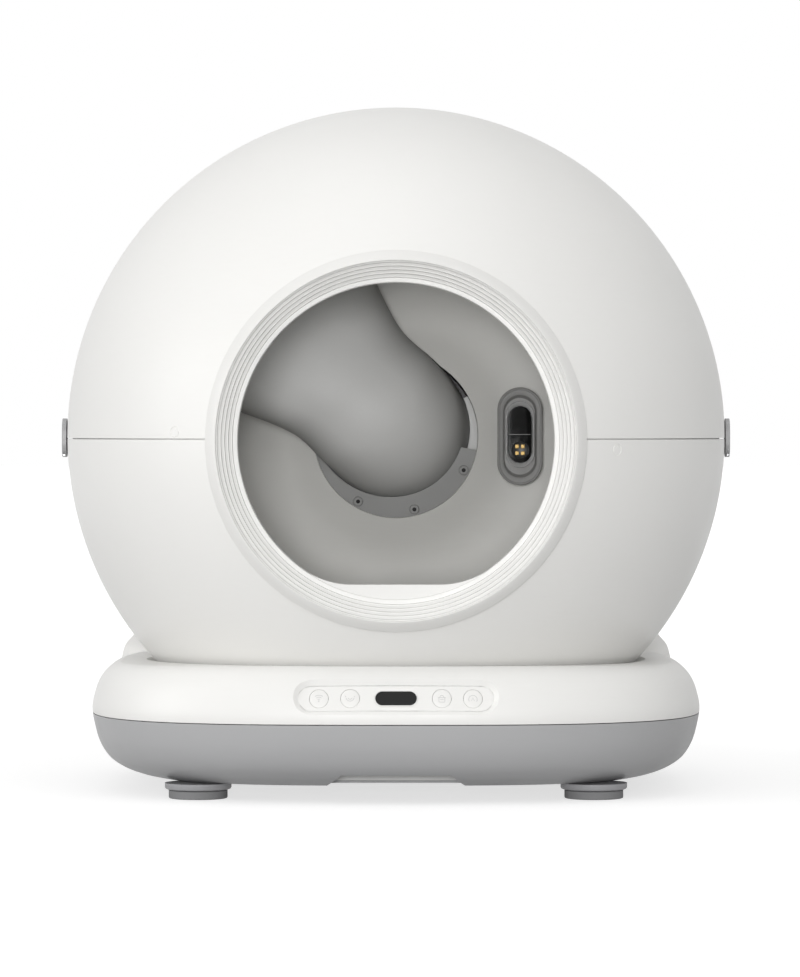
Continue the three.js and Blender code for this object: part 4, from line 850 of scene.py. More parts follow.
def tower_form(name, inset=0.0, steps=128):
    """Rear tower that rises behind the globe, within the base's plan."""
    sizes = settings().base
    span = sizes.tower_top - sizes.split
    line, _ = flowing([(h * span, w * sizes.tower_half, f * sizes.half_depth)
                       for h, w, f in TOWER_SHARES], 6)
    rings = []
    for high, wide, front in line:
        ahead, behind = front + inset, sizes.half_depth - inset
        level = sizes.split + high - (inset if high > span * 0.999 else 0)
        plan = rounded_plan(wide - inset, (behind - ahead) / 2, TOWER_POWER, steps)
        rings.append([(x, y + (behind + ahead) / 2, level) for x, y in plan])
    tower = loft(name, rings)
    plan = rounded_plan(sizes.half_width - inset, sizes.half_depth - inset, BASE_POWER, 144)
    prism = loft("plan_prism", [[(x, y, level) for x, y in plan] for level in (0, 2 * sizes.tower_top)])
    return combine(tower, prism, "INTERSECT")


def front_bend(x):
    """How far the base's front draws back beside the middle."""
    sizes = settings().base
    return sizes.half_depth * (1 - (1 - (abs(x) / sizes.half_width) ** BASE_POWER) ** (1 / BASE_POWER))


def chute_rings(grow=0.0, longer=0.0, sides=72):
    """Rings of the chute from the hub's end to the lobe's open end."""
    sizes = settings().drum
    outward = Vector((math.cos(sizes.lean), 0, math.sin(sizes.lean)))
    back = Vector((0, 1, 0))
    middle = globe_centre()
    hub = middle + Vector((0, 0, sizes.rise))
    stations = [
        (hub + back * (sizes.hub_end - 0.4 * MM + longer), sizes.tube, sizes.tube, 0.0),
        (hub + back * (sizes.hub_edge + 2 * sizes.hub_end) / 3, sizes.tube, sizes.tube, 0.0),
    ]
    for out, behind, wide, thin in CHUTE_SHARES:
        centre = middle + Vector((0, 0, sizes.rise * (1 - out)))
        centre += outward * sizes.reach * out + back * sizes.hub_edge * behind
        stations.append((centre, sizes.wide * wide, sizes.thin * thin, sizes.tilt * min(1, out * 3)))
    _, directions = flowing([station[0] for station in stations], 2)
    rings = []
    for i, (centre, wide, thin, tilt) in enumerate(stations):
        along = -back if i < 2 else directions[i]
        across = outward.cross(back).normalized()
        across.rotate(Matrix.Rotation(tilt, 3, along))
        over = across.cross(along).normalized()
        rings.append([
            centre + across * (wide + grow) * math.cos(2 * math.pi * k / sides)
            + over * (thin + grow) * math.sin(2 * math.pi * k / sides)
            for k in range(sides)
        ])
    strands = [flowing([ring[k] for ring in rings], 7)[0] for k in range(sides)]
    return [[strand[i] for strand in strands] for i in range(len(strands[0]))]


def drum_line():
    """Inner profile of the drum from its mouth to the hub."""
    sizes = settings().drum
    start = -sizes.front + sizes.track
    span = sizes.dish - start
    points = [(sizes.mouth, start, 0)]
    points += [(sizes.radius * radius, start + span * along, 0) for radius, along in DRUM_SHARES]
    points.append((sizes.hub_bore, sizes.hub_edge, 0))
    return [(point.x, point.y) for point in flowing(points, 8)[0]]


def offset_line(line, distance):
    """A profile moved outwards by a distance."""
    moved = []
    for i, (x, y) in enumerate(line):
        before, after = line[max(i - 1, 0)], line[min(i + 1, len(line) - 1)]
        along = Vector((after[0] - before[0], after[1] - before[1])).normalized()
        moved.append((x + along.y * distance, y - along.x * distance))
    return moved


# Pieces


class LITTERBOX_OT_globe(bpy.types.Operator):
    """Builds the two globe shells with their seam, and the side latches"""

    bl_idname = "litterbox.globe"
    bl_label = "Globe shells and latches"

    def execute(self, context):
        sizes, looks, centre = settings().globe, finishes(), globe_centre()
        outline = globe_outline(0.0) + list(reversed(globe_outline(sizes.wall)))
        shell = turned("globe_whole", outline, centre, 192, closed=False)
        combine(shell, ring_space("ring_hole", 0.3 * MM))
        seam = centre.z - sizes.seam_drop
        upper = copy_of(shell, "globe_cover_top")
        split(upper, (0, 0, seam + sizes.seam_gap / 2), (0, 0, -1))
        lower = shell
        lower.name = "globe_cover_bottom"
        split(lower, (0, 0, seam - sizes.seam_gap / 2), (0, 0, 1))
        split(lower, (0, 0, centre.z - sizes.foot_drop), (0, 0, -1))
        self.mark(upper, *UPPER_MARK)
        self.mark(lower, *LOWER_MARK)
        for piece in (upper, lower):
            smooth(piece, 30)
        finish(upper, "base", "white_shell", looks["shell"], "globe_upper_shell")
        finish(lower, "base", "white_shell", looks["shell"], "globe_lower_shell")
        self.tongue(looks)
        self.latches(looks)
        return {"FINISHED"}

    def tongue(self, looks):
        """Tongue of the lower shell that closes the seam from inside."""
        sizes, centre = settings().globe, globe_centre()
        inside = globe_outline(sizes.seam_sink + TONGUE_WALL)
        outline = globe_outline(sizes.seam_sink) + list(reversed(inside))
        tongue = turned("globe_seam_tongue", outline, centre, 192, closed=False)
        combine(tongue, ring_space("tongue_hole", CLEARANCE))
        seam = centre.z - sizes.seam_drop
        split(tongue, (0, 0, seam + TONGUE_REACH), (0, 0, 1))
        split(tongue, (0, 0, seam - TONGUE_REACH), (0, 0, -1))
        smooth(tongue, 30)
        finish(tongue, "base", "white_shell", looks["shell"])

    def mark(self, shell, x, z):
        """Fine moulded circle beside the seam."""
        sizes, centre = settings().globe, globe_centre()
        normal = Vector((x, -math.sqrt(sizes.radius ** 2 - x * x - z * z), z)).normalized()
        leave()
        bpy.ops.mesh.primitive_torus_add(
            major_segments=64, minor_segments=8, major_radius=sizes.mark_radius, minor_radius=MARK_THICKNESS,
            location=centre + normal * sizes.radius, rotation=normal.to_track_quat("Z", "Y").to_euler(),
        )
        combine(shell, settle(bpy.context.object))

    def latches(self, looks):
        """Side latches with rounded edges, laid from a unit pill into the boxes of the CAD's latches."""
        for side, body in (("left", "latch_left"), ("right", "latch_right")):
            low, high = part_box(side + "_latch")
            leave()
            piece = pill(side + "_latch_cover", high.z - low.z, high.y - low.y, -0.5, 0.5, 0.0, 40, 4)
            place(piece, Matrix.Diagonal((1, high.x - low.x, 1, 1)))
            place(piece, Matrix.Rotation(math.pi / 2, 4, "Y"))
            place(piece, Matrix.Rotation(math.pi / 2, 4, "Z"))
            place(piece, Matrix.Translation((low + high) / 2))
            tidy(piece)
            soften(piece, LATCH_ROUNDING, 4, 40)
            smooth(piece, 40)
            finish(piece, body, "latch_grey", looks["latch"], side + "_latch")


class LITTERBOX_OT_ring(bpy.types.Operator):
    """Builds the entry ring with its rounded band, ribs and flat sill"""

    bl_idname = "litterbox.ring"
    bl_label = "Entry ring"

    def execute(self, context):
        sizes, looks, centre = settings().ring, finishes(), ring_centre()
        seat = -math.sqrt(settings().globe.radius ** 2 - sizes.radius ** 2)
        throat_front = -sizes.front + sizes.depth
        outline = [(sizes.radius, seat)] + self.band(sizes) + self.ribs(sizes)
        outline += self.tube(sizes, seat, throat_front)
        ring = turned("entry_ring_cover", outline, centre, 224)
        self.meet_globe(ring, sizes, centre, seat)
        combine(ring, self.throat(sizes, centre, throat_front))
        smooth(ring, 24)
        finish(ring, "base", "white_ring", looks["ring"], "entry_ring")
        return {"FINISHED"}

    def band(self, sizes):
        """Outline of the rounded band, from its outer to its inner edge."""
        outer, inner = sizes.radius, sizes.radius - sizes.band
        top = -sizes.front + sizes.band_rise
        points = [(outer, top + 0.8 * MM), (outer - 0.2 * MM, top + 0.3 * MM)]
        for i in range(13):
            share = i / 12
            points.append((outer - 0.6 * MM - (sizes.band - 1.4 * MM) * share,
                           -sizes.front + sizes.band_rise * (1 - share) ** 1.3))
        return points + [(inner + 0.4 * MM, -sizes.front + 0.15 * MM), (inner, -sizes.front + 0.7 * MM)]

    def ribs(self, sizes):
        """Outline of the fine ribs that step back from the band to the throat."""
        first, level = sizes.radius - sizes.band - RIB_START, -sizes.front + RIB_LEVEL
        points = []
        for i in range(sizes.ribs):
            radius, y = first - RIB_STEP * i, level + RIB_RISE * i
            points += [(radius, y), (radius - sizes.rib_land * 0.7, y + 0.02 * MM),
                       (radius - sizes.rib_land, y + 0.2 * MM),
                       (radius - RIB_STEP * 0.4, y + RIB_RISE * 0.66)]
        return points

    def tube(self, sizes, seat, throat_front):
        """Outline of the throat's edge, the tube behind it and the plug in the globe."""
        inner, spigot, sill = sizes.throat, sizes.spigot, sizes.sill_drop - SILL_DEPTH
        end, plug = throat_front + sizes.tube, seat + sizes.tube * 0.6
        return [(inner + 0.6 * MM, throat_front - 0.8 * MM), (inner, throat_front),
                (sill, throat_front + 3.5 * MM), (sill, end), (inner + 3 * MM, end),
                (spigot - 3 * MM, plug), (spigot, plug), (spigot, seat)]

    def meet_globe(self, ring, sizes, centre, seat):
        """Lays the inner edge of the ring's seat along the globe's round front, just before it."""
        for vertex in ring.data.vertices:
            x, z = vertex.co.x, vertex.co.z - centre.z
            y = vertex.co.y - centre.y
            if math.hypot(x, z) > sizes.spigot - 0.01 * MM and abs(y - seat) < 0.02 * MM:
                rest = settings().globe.radius ** 2 - x * x - (z - sizes.drop) ** 2
                vertex.co.y = centre.y - math.sqrt(rest) - SEAT_GAP

    def throat(self, sizes, centre, throat_front):
        """Cutting form of the round throat with its flat sill."""
        floor = -sizes.sill_drop
        corner = math.sqrt(sizes.throat ** 2 - floor ** 2)
        start = math.atan2(floor, corner) + math.radians(26) / 3
        points = arc(0, 0, sizes.throat, start, math.pi - start, 150)
        ends = (points[-1], (-corner, floor), (-corner + sizes.sill_blend * 0.7, floor))
        left = [(1 - t) ** 2 * Vector(ends[0]) + 2 * t * (1 - t) * Vector(ends[1]) + t * t * Vector(ends[2])
                for t in (i / 12 for i in range(1, 13))]
        points += [tuple(point) for point in left]
        points += [(-x, z) for x, z in reversed([tuple(point) for point in left])]
        rings = []
        for y in (-sizes.front * 1.2, throat_front + sizes.tube * 3):
            rings.append([(centre.x + x, centre.y + y, centre.z + z) for x, z in points])
        return loft("throat_space", rings)


class LITTERBOX_OT_drum(bpy.types.Operator):
    """Builds the turning drum with its smooth liner wall"""

    bl_idname = "litterbox.drum"
    bl_label = "Drum"

    def execute(self, context):
        sizes, looks = settings().drum, finishes()
        centre = globe_centre()
        inner = drum_line()
        outer = offset_line(inner, sizes.wall)
        sleeve = sizes.hub_bore + 3 * MM
        start = -sizes.front + sizes.track
        outside = [p for p in outer if p[0] > sleeve + sizes.wall and p[1] > start + sizes.wall]
        outline = [(sizes.mouth, -sizes.front)] + inner
        outline += [(sizes.hub_bore - 0.4 * MM, sizes.hub_edge + 1.2 * MM),
                    (sizes.hub_bore, sizes.hub_edge + 3 * MM), (sizes.hub_bore, sizes.hub_end),
                    (sleeve, sizes.hub_end), (sleeve, sizes.dish + sizes.wall)]
        outline += list(reversed(outside))
        outline += [(sizes.mouth + sizes.wall, start), (sizes.mouth + sizes.wall, -sizes.front)]
        drum = turned("drum_liner", outline, centre, 176)
        combine(drum, loft("chute_space", chute_rings(2 * CLEARANCE, OVERRUN)))
        smooth(drum, 35)
        finish(drum, "drum", "liner_grey", looks["liner"], "litter_drum")
        dress(looks["chute"], "sieve")
        dress(looks["gear"], "ring_gear")
        return {"FINISHED"}


class LITTERBOX_OT_chute(bpy.types.Operator):
    """Builds the waste chute, its dark flange and the screws"""

    bl_idname = "litterbox.chute"
    bl_label = "Chute and flange"

    def execute(self, context):
        sizes, looks = settings().drum, finishes()
        chute = loft("chute_cover", chute_rings(), capped=False)
        modify(chute, "SOLIDIFY", thickness=2.5 * MM, offset=-1)
        tidy(chute)
        soften(chute, 0.8 * MM, 2, 60)
        smooth(chute, 40)
        finish(chute, "drum", "chute_grey", looks["chute"], "waste_chute")
        self.flange(sizes, looks)
        self.lip(sizes, looks)
        return {"FINISHED"}

    def lip(self, sizes, looks):
        """Pale ledge inside the hub, beside the chute's tube."""
        centre = globe_centre()
        front = centre.y + sizes.hub_edge + 32 * MM
        outer = arc(0, 0, sizes.hub_bore - 0.1 * MM, math.radians(-12), math.radians(29), 40)
        inner = arc(0, 0, sizes.hub_bore - 12 * MM, math.radians(29), math.radians(-12), 40)
        rings = [[(x, y, centre.z + z) for x, z in outer + inner] for y in (front, front + 4 * MM)]
        lip = loft("hub_lip", rings)
        combine(lip, loft("lip_clearance", chute_rings(CLEARANCE, OVERRUN)))
        soften(lip, 0.5 * MM, 2, 50)
        smooth(lip, 34)
        finish(lip, "drum", "liner_grey", looks["chute"])

    def flange(self, sizes, looks):
        """Dark sector behind the hub's edge with its bosses and sunk screws."""
        centre = globe_centre()
        outer, front, thick = sizes.hub_bore - 0.4 * MM, sizes.hub_edge + 4 * MM, 3 * MM
        sweep = arc(0, 0, outer, math.radians(-172), math.radians(-10), 96)
        rings = []
        for y in (front, front + thick):
            rings.append([(x, centre.y + y, centre.z + z) for x, z in sweep + [(0, 0)]])
        flange = loft("hub_flange_cover", rings)
        near, far, inner = front - 1.2 * MM, front + 1 * MM, outer - 1.3 * MM
        rim = turned("flange_rim", [(outer, near), (outer, far), (inner, far), (inner, near)], centre, 160)
        keep = loft("rim_keep", [[(x * 1.2, centre.y + y, centre.z + z * 1.2) for x, z in sweep + [(0, 0)]]
                                 for y in (front - OVERRUN / 2, front + OVERRUN / 2)])
        combine(rim, keep, "INTERSECT")
        combine(flange, rim, "UNION")
        turns = [math.radians(turn) for turn in BOSS_ANGLES]
        spots = [centre + BOSS_CIRCLE * Vector((math.cos(turn), 0, math.sin(turn))) for turn in turns]
        for spot in spots:
            outline = [(0, front - 3 * MM), (3.5 * MM, front - 3 * MM), (4.3 * MM, front - 2.2 * MM),
                       (4.4 * MM, front + 1 * MM), (0, front + 1 * MM)]
            combine(flange, turned("boss", outline, spot, 40, closed=False), "UNION")
        combine(flange, loft("chute_clearance", chute_rings(CLEARANCE, OVERRUN)))
        for number, spot in enumerate(spots, 1):
            well = rod("well", 1.8 * MM, front - 6 * MM, front + 0.2 * MM, spot, 32)
            combine(flange, well)
            head = turned("hub_screw_%d_head" % number,
                          [(0, front - 0.4 * MM), (0.6 * MM, front - 0.4 * MM), (0.8 * MM, front - 1 * MM),
                           (1.4 * MM, front - 0.9 * MM), (1.7 * MM, front - 0.5 * MM), (1.7 * MM, front),
                           (0, front)], spot, 32, closed=False)
            smooth(head, 30)
            finish(head, "drum", "steel", looks["screw"], "hub_screw_%d" % number)
        smooth(flange, 30)
        finish(flange, "drum", "dark_grey", looks["flange"], "hub_flange")


class LITTERBOX_OT_sensor(bpy.types.Operator):
    """Builds the sensor module on the drum's back wall"""

    bl_idname = "litterbox.sensor"
    bl_label = "Sensor module"

    def execute(self, context):
        sizes, looks = settings().sensor, finishes()
        spot = globe_centre() + Vector((sizes.place, sizes.front, -sizes.drop))
        self.surround(sizes, looks, spot)
        spot = spot + Vector((0, 0, sizes.bezel_rise))
        self.bezel(sizes, looks, spot)
        self.lens(sizes, looks, spot)
        self.contacts(sizes, looks, Matrix.Translation(spot - Vector((0, sizes.front, 0))))
        return {"FINISHED"}

    def surround(self, sizes, looks, spot):
        """Dark oval surround with a rounded rim and a sloped pocket."""
        wide, high = sizes.width / 2, sizes.height / 2
        pocket_wide, pocket_high = wide - POCKET_SIDE, high - POCKET_END
        surround = self.frame("sensor_frame", spot, (
            (0, high - wide, SURROUND_DEPTH), (wide, high, SURROUND_DEPTH), (wide, high, 0.9 * MM),
            (wide - 0.4 * MM, high - 0.4 * MM, 0.3 * MM),
            (wide - 1.1 * MM, high - 1.1 * MM, 0), (wide - 1.9 * MM, high - 1.9 * MM, 0.2 * MM),
            (wide - 2.4 * MM, high - 2.4 * MM, 0.9 * MM),
            (pocket_wide + 0.8 * MM, pocket_high + 0.8 * MM, 1 * MM),
            (pocket_wide + 0.2 * MM, pocket_high + 0.2 * MM, 1.3 * MM), (pocket_wide, pocket_high, 2 * MM),
            (pocket_wide - 1.2 * MM, pocket_high - 2.4 * MM, 5 * MM), (0, pocket_high - pocket_wide, 5 * MM),
        ))
        finish(surround, "drum", "dark_grey", looks["surround"], "sensor_surround")

    def bezel(self, sizes, looks, spot):
        """Bright bezel round the lens."""
        wide, high = sizes.bezel_width / 2, sizes.bezel_height / 2
        lens_wide, lens_high = sizes.lens_width / 2, sizes.lens_height / 2
        bezel = self.frame("sensor_rim", spot, (
            (wide, high, BEZEL_DEPTH), (wide, high, 1.4 * MM), (wide - 0.3 * MM, high - 0.3 * MM, 0.8 * MM),
            (wide - 0.9 * MM, high - 0.9 * MM, 0.5 * MM), (wide - 1.3 * MM, high - 1.5 * MM, 0.8 * MM),
            (lens_wide + 0.3 * MM, lens_high + 0.6 * MM, 2.6 * MM),
            (lens_wide + 0.25 * MM, lens_high + 0.25 * MM, BEZEL_DEPTH),
        ))
        finish(bezel, "drum", "chrome_trim", looks["bezel"], "sensor_bezel")

    def lens(self, sizes, looks, spot):
        """Black lens with the round well of the contacts and a fine line across its middle."""
        wide, high = sizes.lens_width / 2, sizes.lens_height / 2
        lens = self.frame("sensor_window", spot, (
            (0, high - wide, LENS_DEPTH), (wide, high, LENS_DEPTH),
            (wide, high, 2.4 * MM), (wide - 0.5 * MM, high - 0.5 * MM, 2 * MM),
            (0, high - wide, 1.9 * MM),
        ))
        well = rod("contact_well", CONTACT_WELL, 0, 3.2 * MM, spot - Vector((0, 0, sizes.contact_drop)), 64)
        combine(lens, well)
        line = block("lens_line", spot + Vector((0.8 * MM - wide, 1.75 * MM, -0.3 * MM)),
                     spot + Vector((wide - 0.8 * MM, 2.3 * MM, 0.3 * MM)))
        soften(line, 0.1 * MM, 2, 40)
        finish(line, "drum", "dark_grey", looks["surround"])
        smooth(lens, 30)
        finish(lens, "drum", "gloss_black", looks["lens"], "sensor_lens")

    def frame(self, name, spot, profile, steps=28):
        """Upright pill form skinned through a profile of half width, half height and depth."""
        rings = []
        for wide, high, deep in profile + (profile[:1] if profile[0][0] else ()):
            straight = high - wide
            turns = arc(0, straight, wide, 0, math.pi, steps)
            turns += arc(0, -straight, wide, math.pi, 2 * math.pi, steps)
            rings.append([(spot.x + x, spot.y + deep, spot.z + z) for x, z in turns])
        return smooth(loft(name, rings, capped=False), 30)

    def contacts(self, sizes, looks, matrix):
        """Dark round block with four gold pads."""
        front = sizes.front
        spot = Vector((0, 0, -sizes.contact_drop))
        outline = [(0, front + 2.7 * MM), (6.4 * MM, front + 2.7 * MM), (7.2 * MM, front + 2.2 * MM),
                   (7.6 * MM, front + 2.3 * MM), (7.6 * MM, front + 3.3 * MM), (0, front + 3.3 * MM)]
        holder = turned("contact_holder", outline, spot, 64, closed=False)
        place(holder, matrix)
        smooth(holder, 34)
        finish(holder, "drum", "gloss_black", looks["socket"], "contact_block")
        half, tall = sizes.contact_pitch / 2, sizes.contact_rise / 2
        for number, (x, z) in enumerate(((-half, -tall), (half, -tall), (-half, tall), (half, tall)), 1):
            pad = block("contact_pad_%d" % number, (x - PAD_HALF, front + 1.9 * MM, spot.z + z - PAD_HALF),
                        (x + PAD_HALF, front + 2.8 * MM, spot.z + z + PAD_HALF))
            soften(pad, 0.2 * MM, 2, 40)
            dimple = rod("dimple", 0.8 * MM, front + 1.5 * MM, front + 2.2 * MM, (x, 0, spot.z + z), 16)
            combine(pad, dimple)
            place(pad, matrix)
            smooth(pad, 40)
            finish(pad, "drum", "gold_contact", looks["gold"])


class LITTERBOX_OT_base(bpy.types.Operator):
    """Builds the base's upper shell with its tower, the lower shell and the drawer front"""

    bl_idname = "litterbox.base"
    bl_label = "Base shells"

    def execute(self, context):
        looks = finishes()
        self.upper(looks)
        self.lower(looks)
        dress(looks["chute"], "drawer_tray")
        dress(looks["carbon"], "drawer_filter")
        dress(looks["lower"], "waste_guide", "hub_bearing")
        dress(looks["circuit"], "main_board", "control_board")
        self.inlet(looks)
        return {"FINISHED"}

    def cradle(self, name, gap, floor, wall):
        """Space that the globe takes in the base."""
        globe = settings().globe
        centre = globe_centre()
        leave()
        bpy.ops.mesh.primitive_uv_sphere_add(
            segments=160, ring_count=80, radius=globe.radius + gap, location=centre
        )
        space = bpy.context.object
        space.name = name
        settle(space)
        split(space, (0, 0, floor), (0, 0, -1))
        split(space, (0, wall, 0), (0, 1, 0))
        return space

    def upper(self, looks):
        """White shell with the rim, the cradle, the tower and the panel's recess."""
        sizes, globe, panel = settings().base, settings().globe, settings().panel
        face = globe.setback + globe.flat_back + 3 * MM
        floor = globe.height - globe.foot_drop - 0.3 * MM
        outer = base_form("base_cover_top")
        combine(outer, tower_form("tower"), "UNION")
        core = base_form("core", sizes.wall)
        combine(core, tower_form("tower_core", sizes.wall), "UNION")
        gap, wall = sizes.cradle_gap, sizes.wall
        combine(core, self.cradle("core_cradle", gap + wall, floor - wall, face + wall))
        combine(outer, self.cradle("cradle", gap, floor, face))
        combine(outer, core)
        split(outer, (0, 0, sizes.split + sizes.split_gap / 2), (0, 0, -1))
        split(outer, (0, sizes.rear_flat, 0), (0, 1, 0))
        recess = pill("recess", panel.width + 2 * panel.end_slope, panel.height + 2 * panel.slope,
                      -panel.sink, panel.sink, panel.end_slope * 2, 128, 8, panel.slope * 2)
        combine(outer, on_front(recess))
        through = pill("through", panel.width - 2 * panel.end_slope - 1 * MM,
                       panel.height - 2 * panel.slope - 1 * MM, -OVERRUN, 14 * MM, 0, 96)
        combine(outer, on_front(through))
        near, far = globe.flat_back - LONG_OVERRUN, settings().drum.hub_end + OVERRUN
        combine(outer, rod("hub_hole", HUB_HOLE, near, far, globe_centre(), 128))
        low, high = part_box("power_inlet")
        combine(outer, rod("inlet_hole", INLET_HOLE, -30 * MM, 30 * MM, (low + high) / 2, 48))
        smooth(outer, 16)
        finish(outer, "base", "white_shell", looks["shell"], "base_upper_shell")

    def lower(self, looks):
        """Grey lower shell and the drawer front with its finger recess."""
        sizes = settings().base
        wall = base_form("lower_wall")
        combine(wall, base_form("lower_core", sizes.wall, sizes.wall, -LONG_OVERRUN))
        split(wall, (0, 0, sizes.split - sizes.split_gap / 2), (0, 0, 1))
        split(wall, (0, sizes.rear_flat, 0), (0, 1, 0))
        front = copy_of(wall, "drawer_cover")
        rear = wall
        rear.name = "base_cover_bottom"
        split(rear, (0, sizes.drawer_seam + 0.25 * MM, 0), (0, -1, 0))
        split(front, (0, sizes.drawer_seam - 0.25 * MM, 0), (0, 1, 0))
        top = sizes.bottom + sizes.wall
        pan = self.floor("pan", 0.0, sizes.bottom, top)
        combine(front, self.floor("pan_space", CLEARANCE, 0, top + CLEARANCE))
        combine(rear, pan, "UNION")
        ahead = -300 * MM
        combine(front, self.grip("grip", 0.0, ahead, 0))
        combine(rear, self.grip("grip_rear", sizes.wall, ahead, -175 * MM))
        for side in (-1, 1):
            middle, foot = side * RAIL_PLACE, sizes.bottom + 1 * MM
            rail = block("rail", (middle - RAIL_HALF, -RAIL_LENGTH / 2, foot),
                         (middle + RAIL_HALF, RAIL_LENGTH / 2, foot + RAIL_HEIGHT))
            combine(rear, rail, "UNION")
        for piece in (front, rear):
            smooth(piece, 30)
        finish(rear, "base", "light_grey", looks["lower"], "base_lower_shell")
        finish(front, "drawer", "light_grey", looks["lower"], "drawer_front")

    def floor(self, name, grow, low, high):
        """Flat plate inside the lower edge of the base's wall."""
        sizes = settings().base
        _, wide, deep = BASE_SHARES[0]
        half_x = sizes.half_width * wide - sizes.wall + grow
        half_y = sizes.half_depth * deep - sizes.wall + grow
        plan = rounded_plan(half_x, half_y, BASE_POWER, 144)
        return loft(name, [[(x, y, level) for x, y in plan] for level in (low, high)])

    def grip(self, name, grow, front, back):
        """Trapezoid finger recess."""
        sizes = settings().base
        foot, top, high = sizes.grip_bottom + grow, sizes.grip_top + grow, sizes.grip_height + grow
        plan = ((-foot, -LONG_OVERRUN), (foot, -LONG_OVERRUN), (foot, 0),
                (top, high), (-top, high), (-foot, 0))
        return loft(name, [[(x, y, sizes.bottom + z) for x, z in plan] for y in (front, back)])

    def inlet(self, looks):
        """Round power inlet low on the tower's back."""
        low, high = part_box("power_inlet")
        middle = (low + high) / 2
        back = high.y - middle.y
        outline = [(0, -back), (5.3 * MM, -back), (5.3 * MM, back - 2 * MM), (7 * MM, back - 2 * MM),
                   (7 * MM, back - 0.4 * MM), (6.6 * MM, back), (3.4 * MM, back), (3 * MM, back - 0.5 * MM),
                   (3 * MM, -back * 0.4), (0, -back * 0.4)]
        socket = turned("inlet_socket", outline, middle, 48, closed=False)
        pin = turned("inlet_pin", [(0, -back * 0.5), (0.9 * MM, -back * 0.5), (0.9 * MM, back - 1.6 * MM),
                                   (0.5 * MM, back - 1 * MM), (0, back - 1 * MM)], middle, 24, closed=False)
        smooth(socket, 30)
        smooth(pin, 30)
        finish(socket, "base", "gloss_black", looks["socket"], "power_inlet")
        finish(pin, "base", "steel", looks["steel"])


def on_front(piece):
    """Bends a panel piece to the base's front and leans it into place."""
    sizes, panel = settings().base, settings().panel
    for vertex in piece.data.vertices:
        vertex.co.y += front_bend(vertex.co.x)
    spot = Matrix.Translation((0, -sizes.half_depth * PANEL_SHARE, panel.centre))
    return place(piece, spot @ Matrix.Rotation(-panel.lean, 4, "X"))


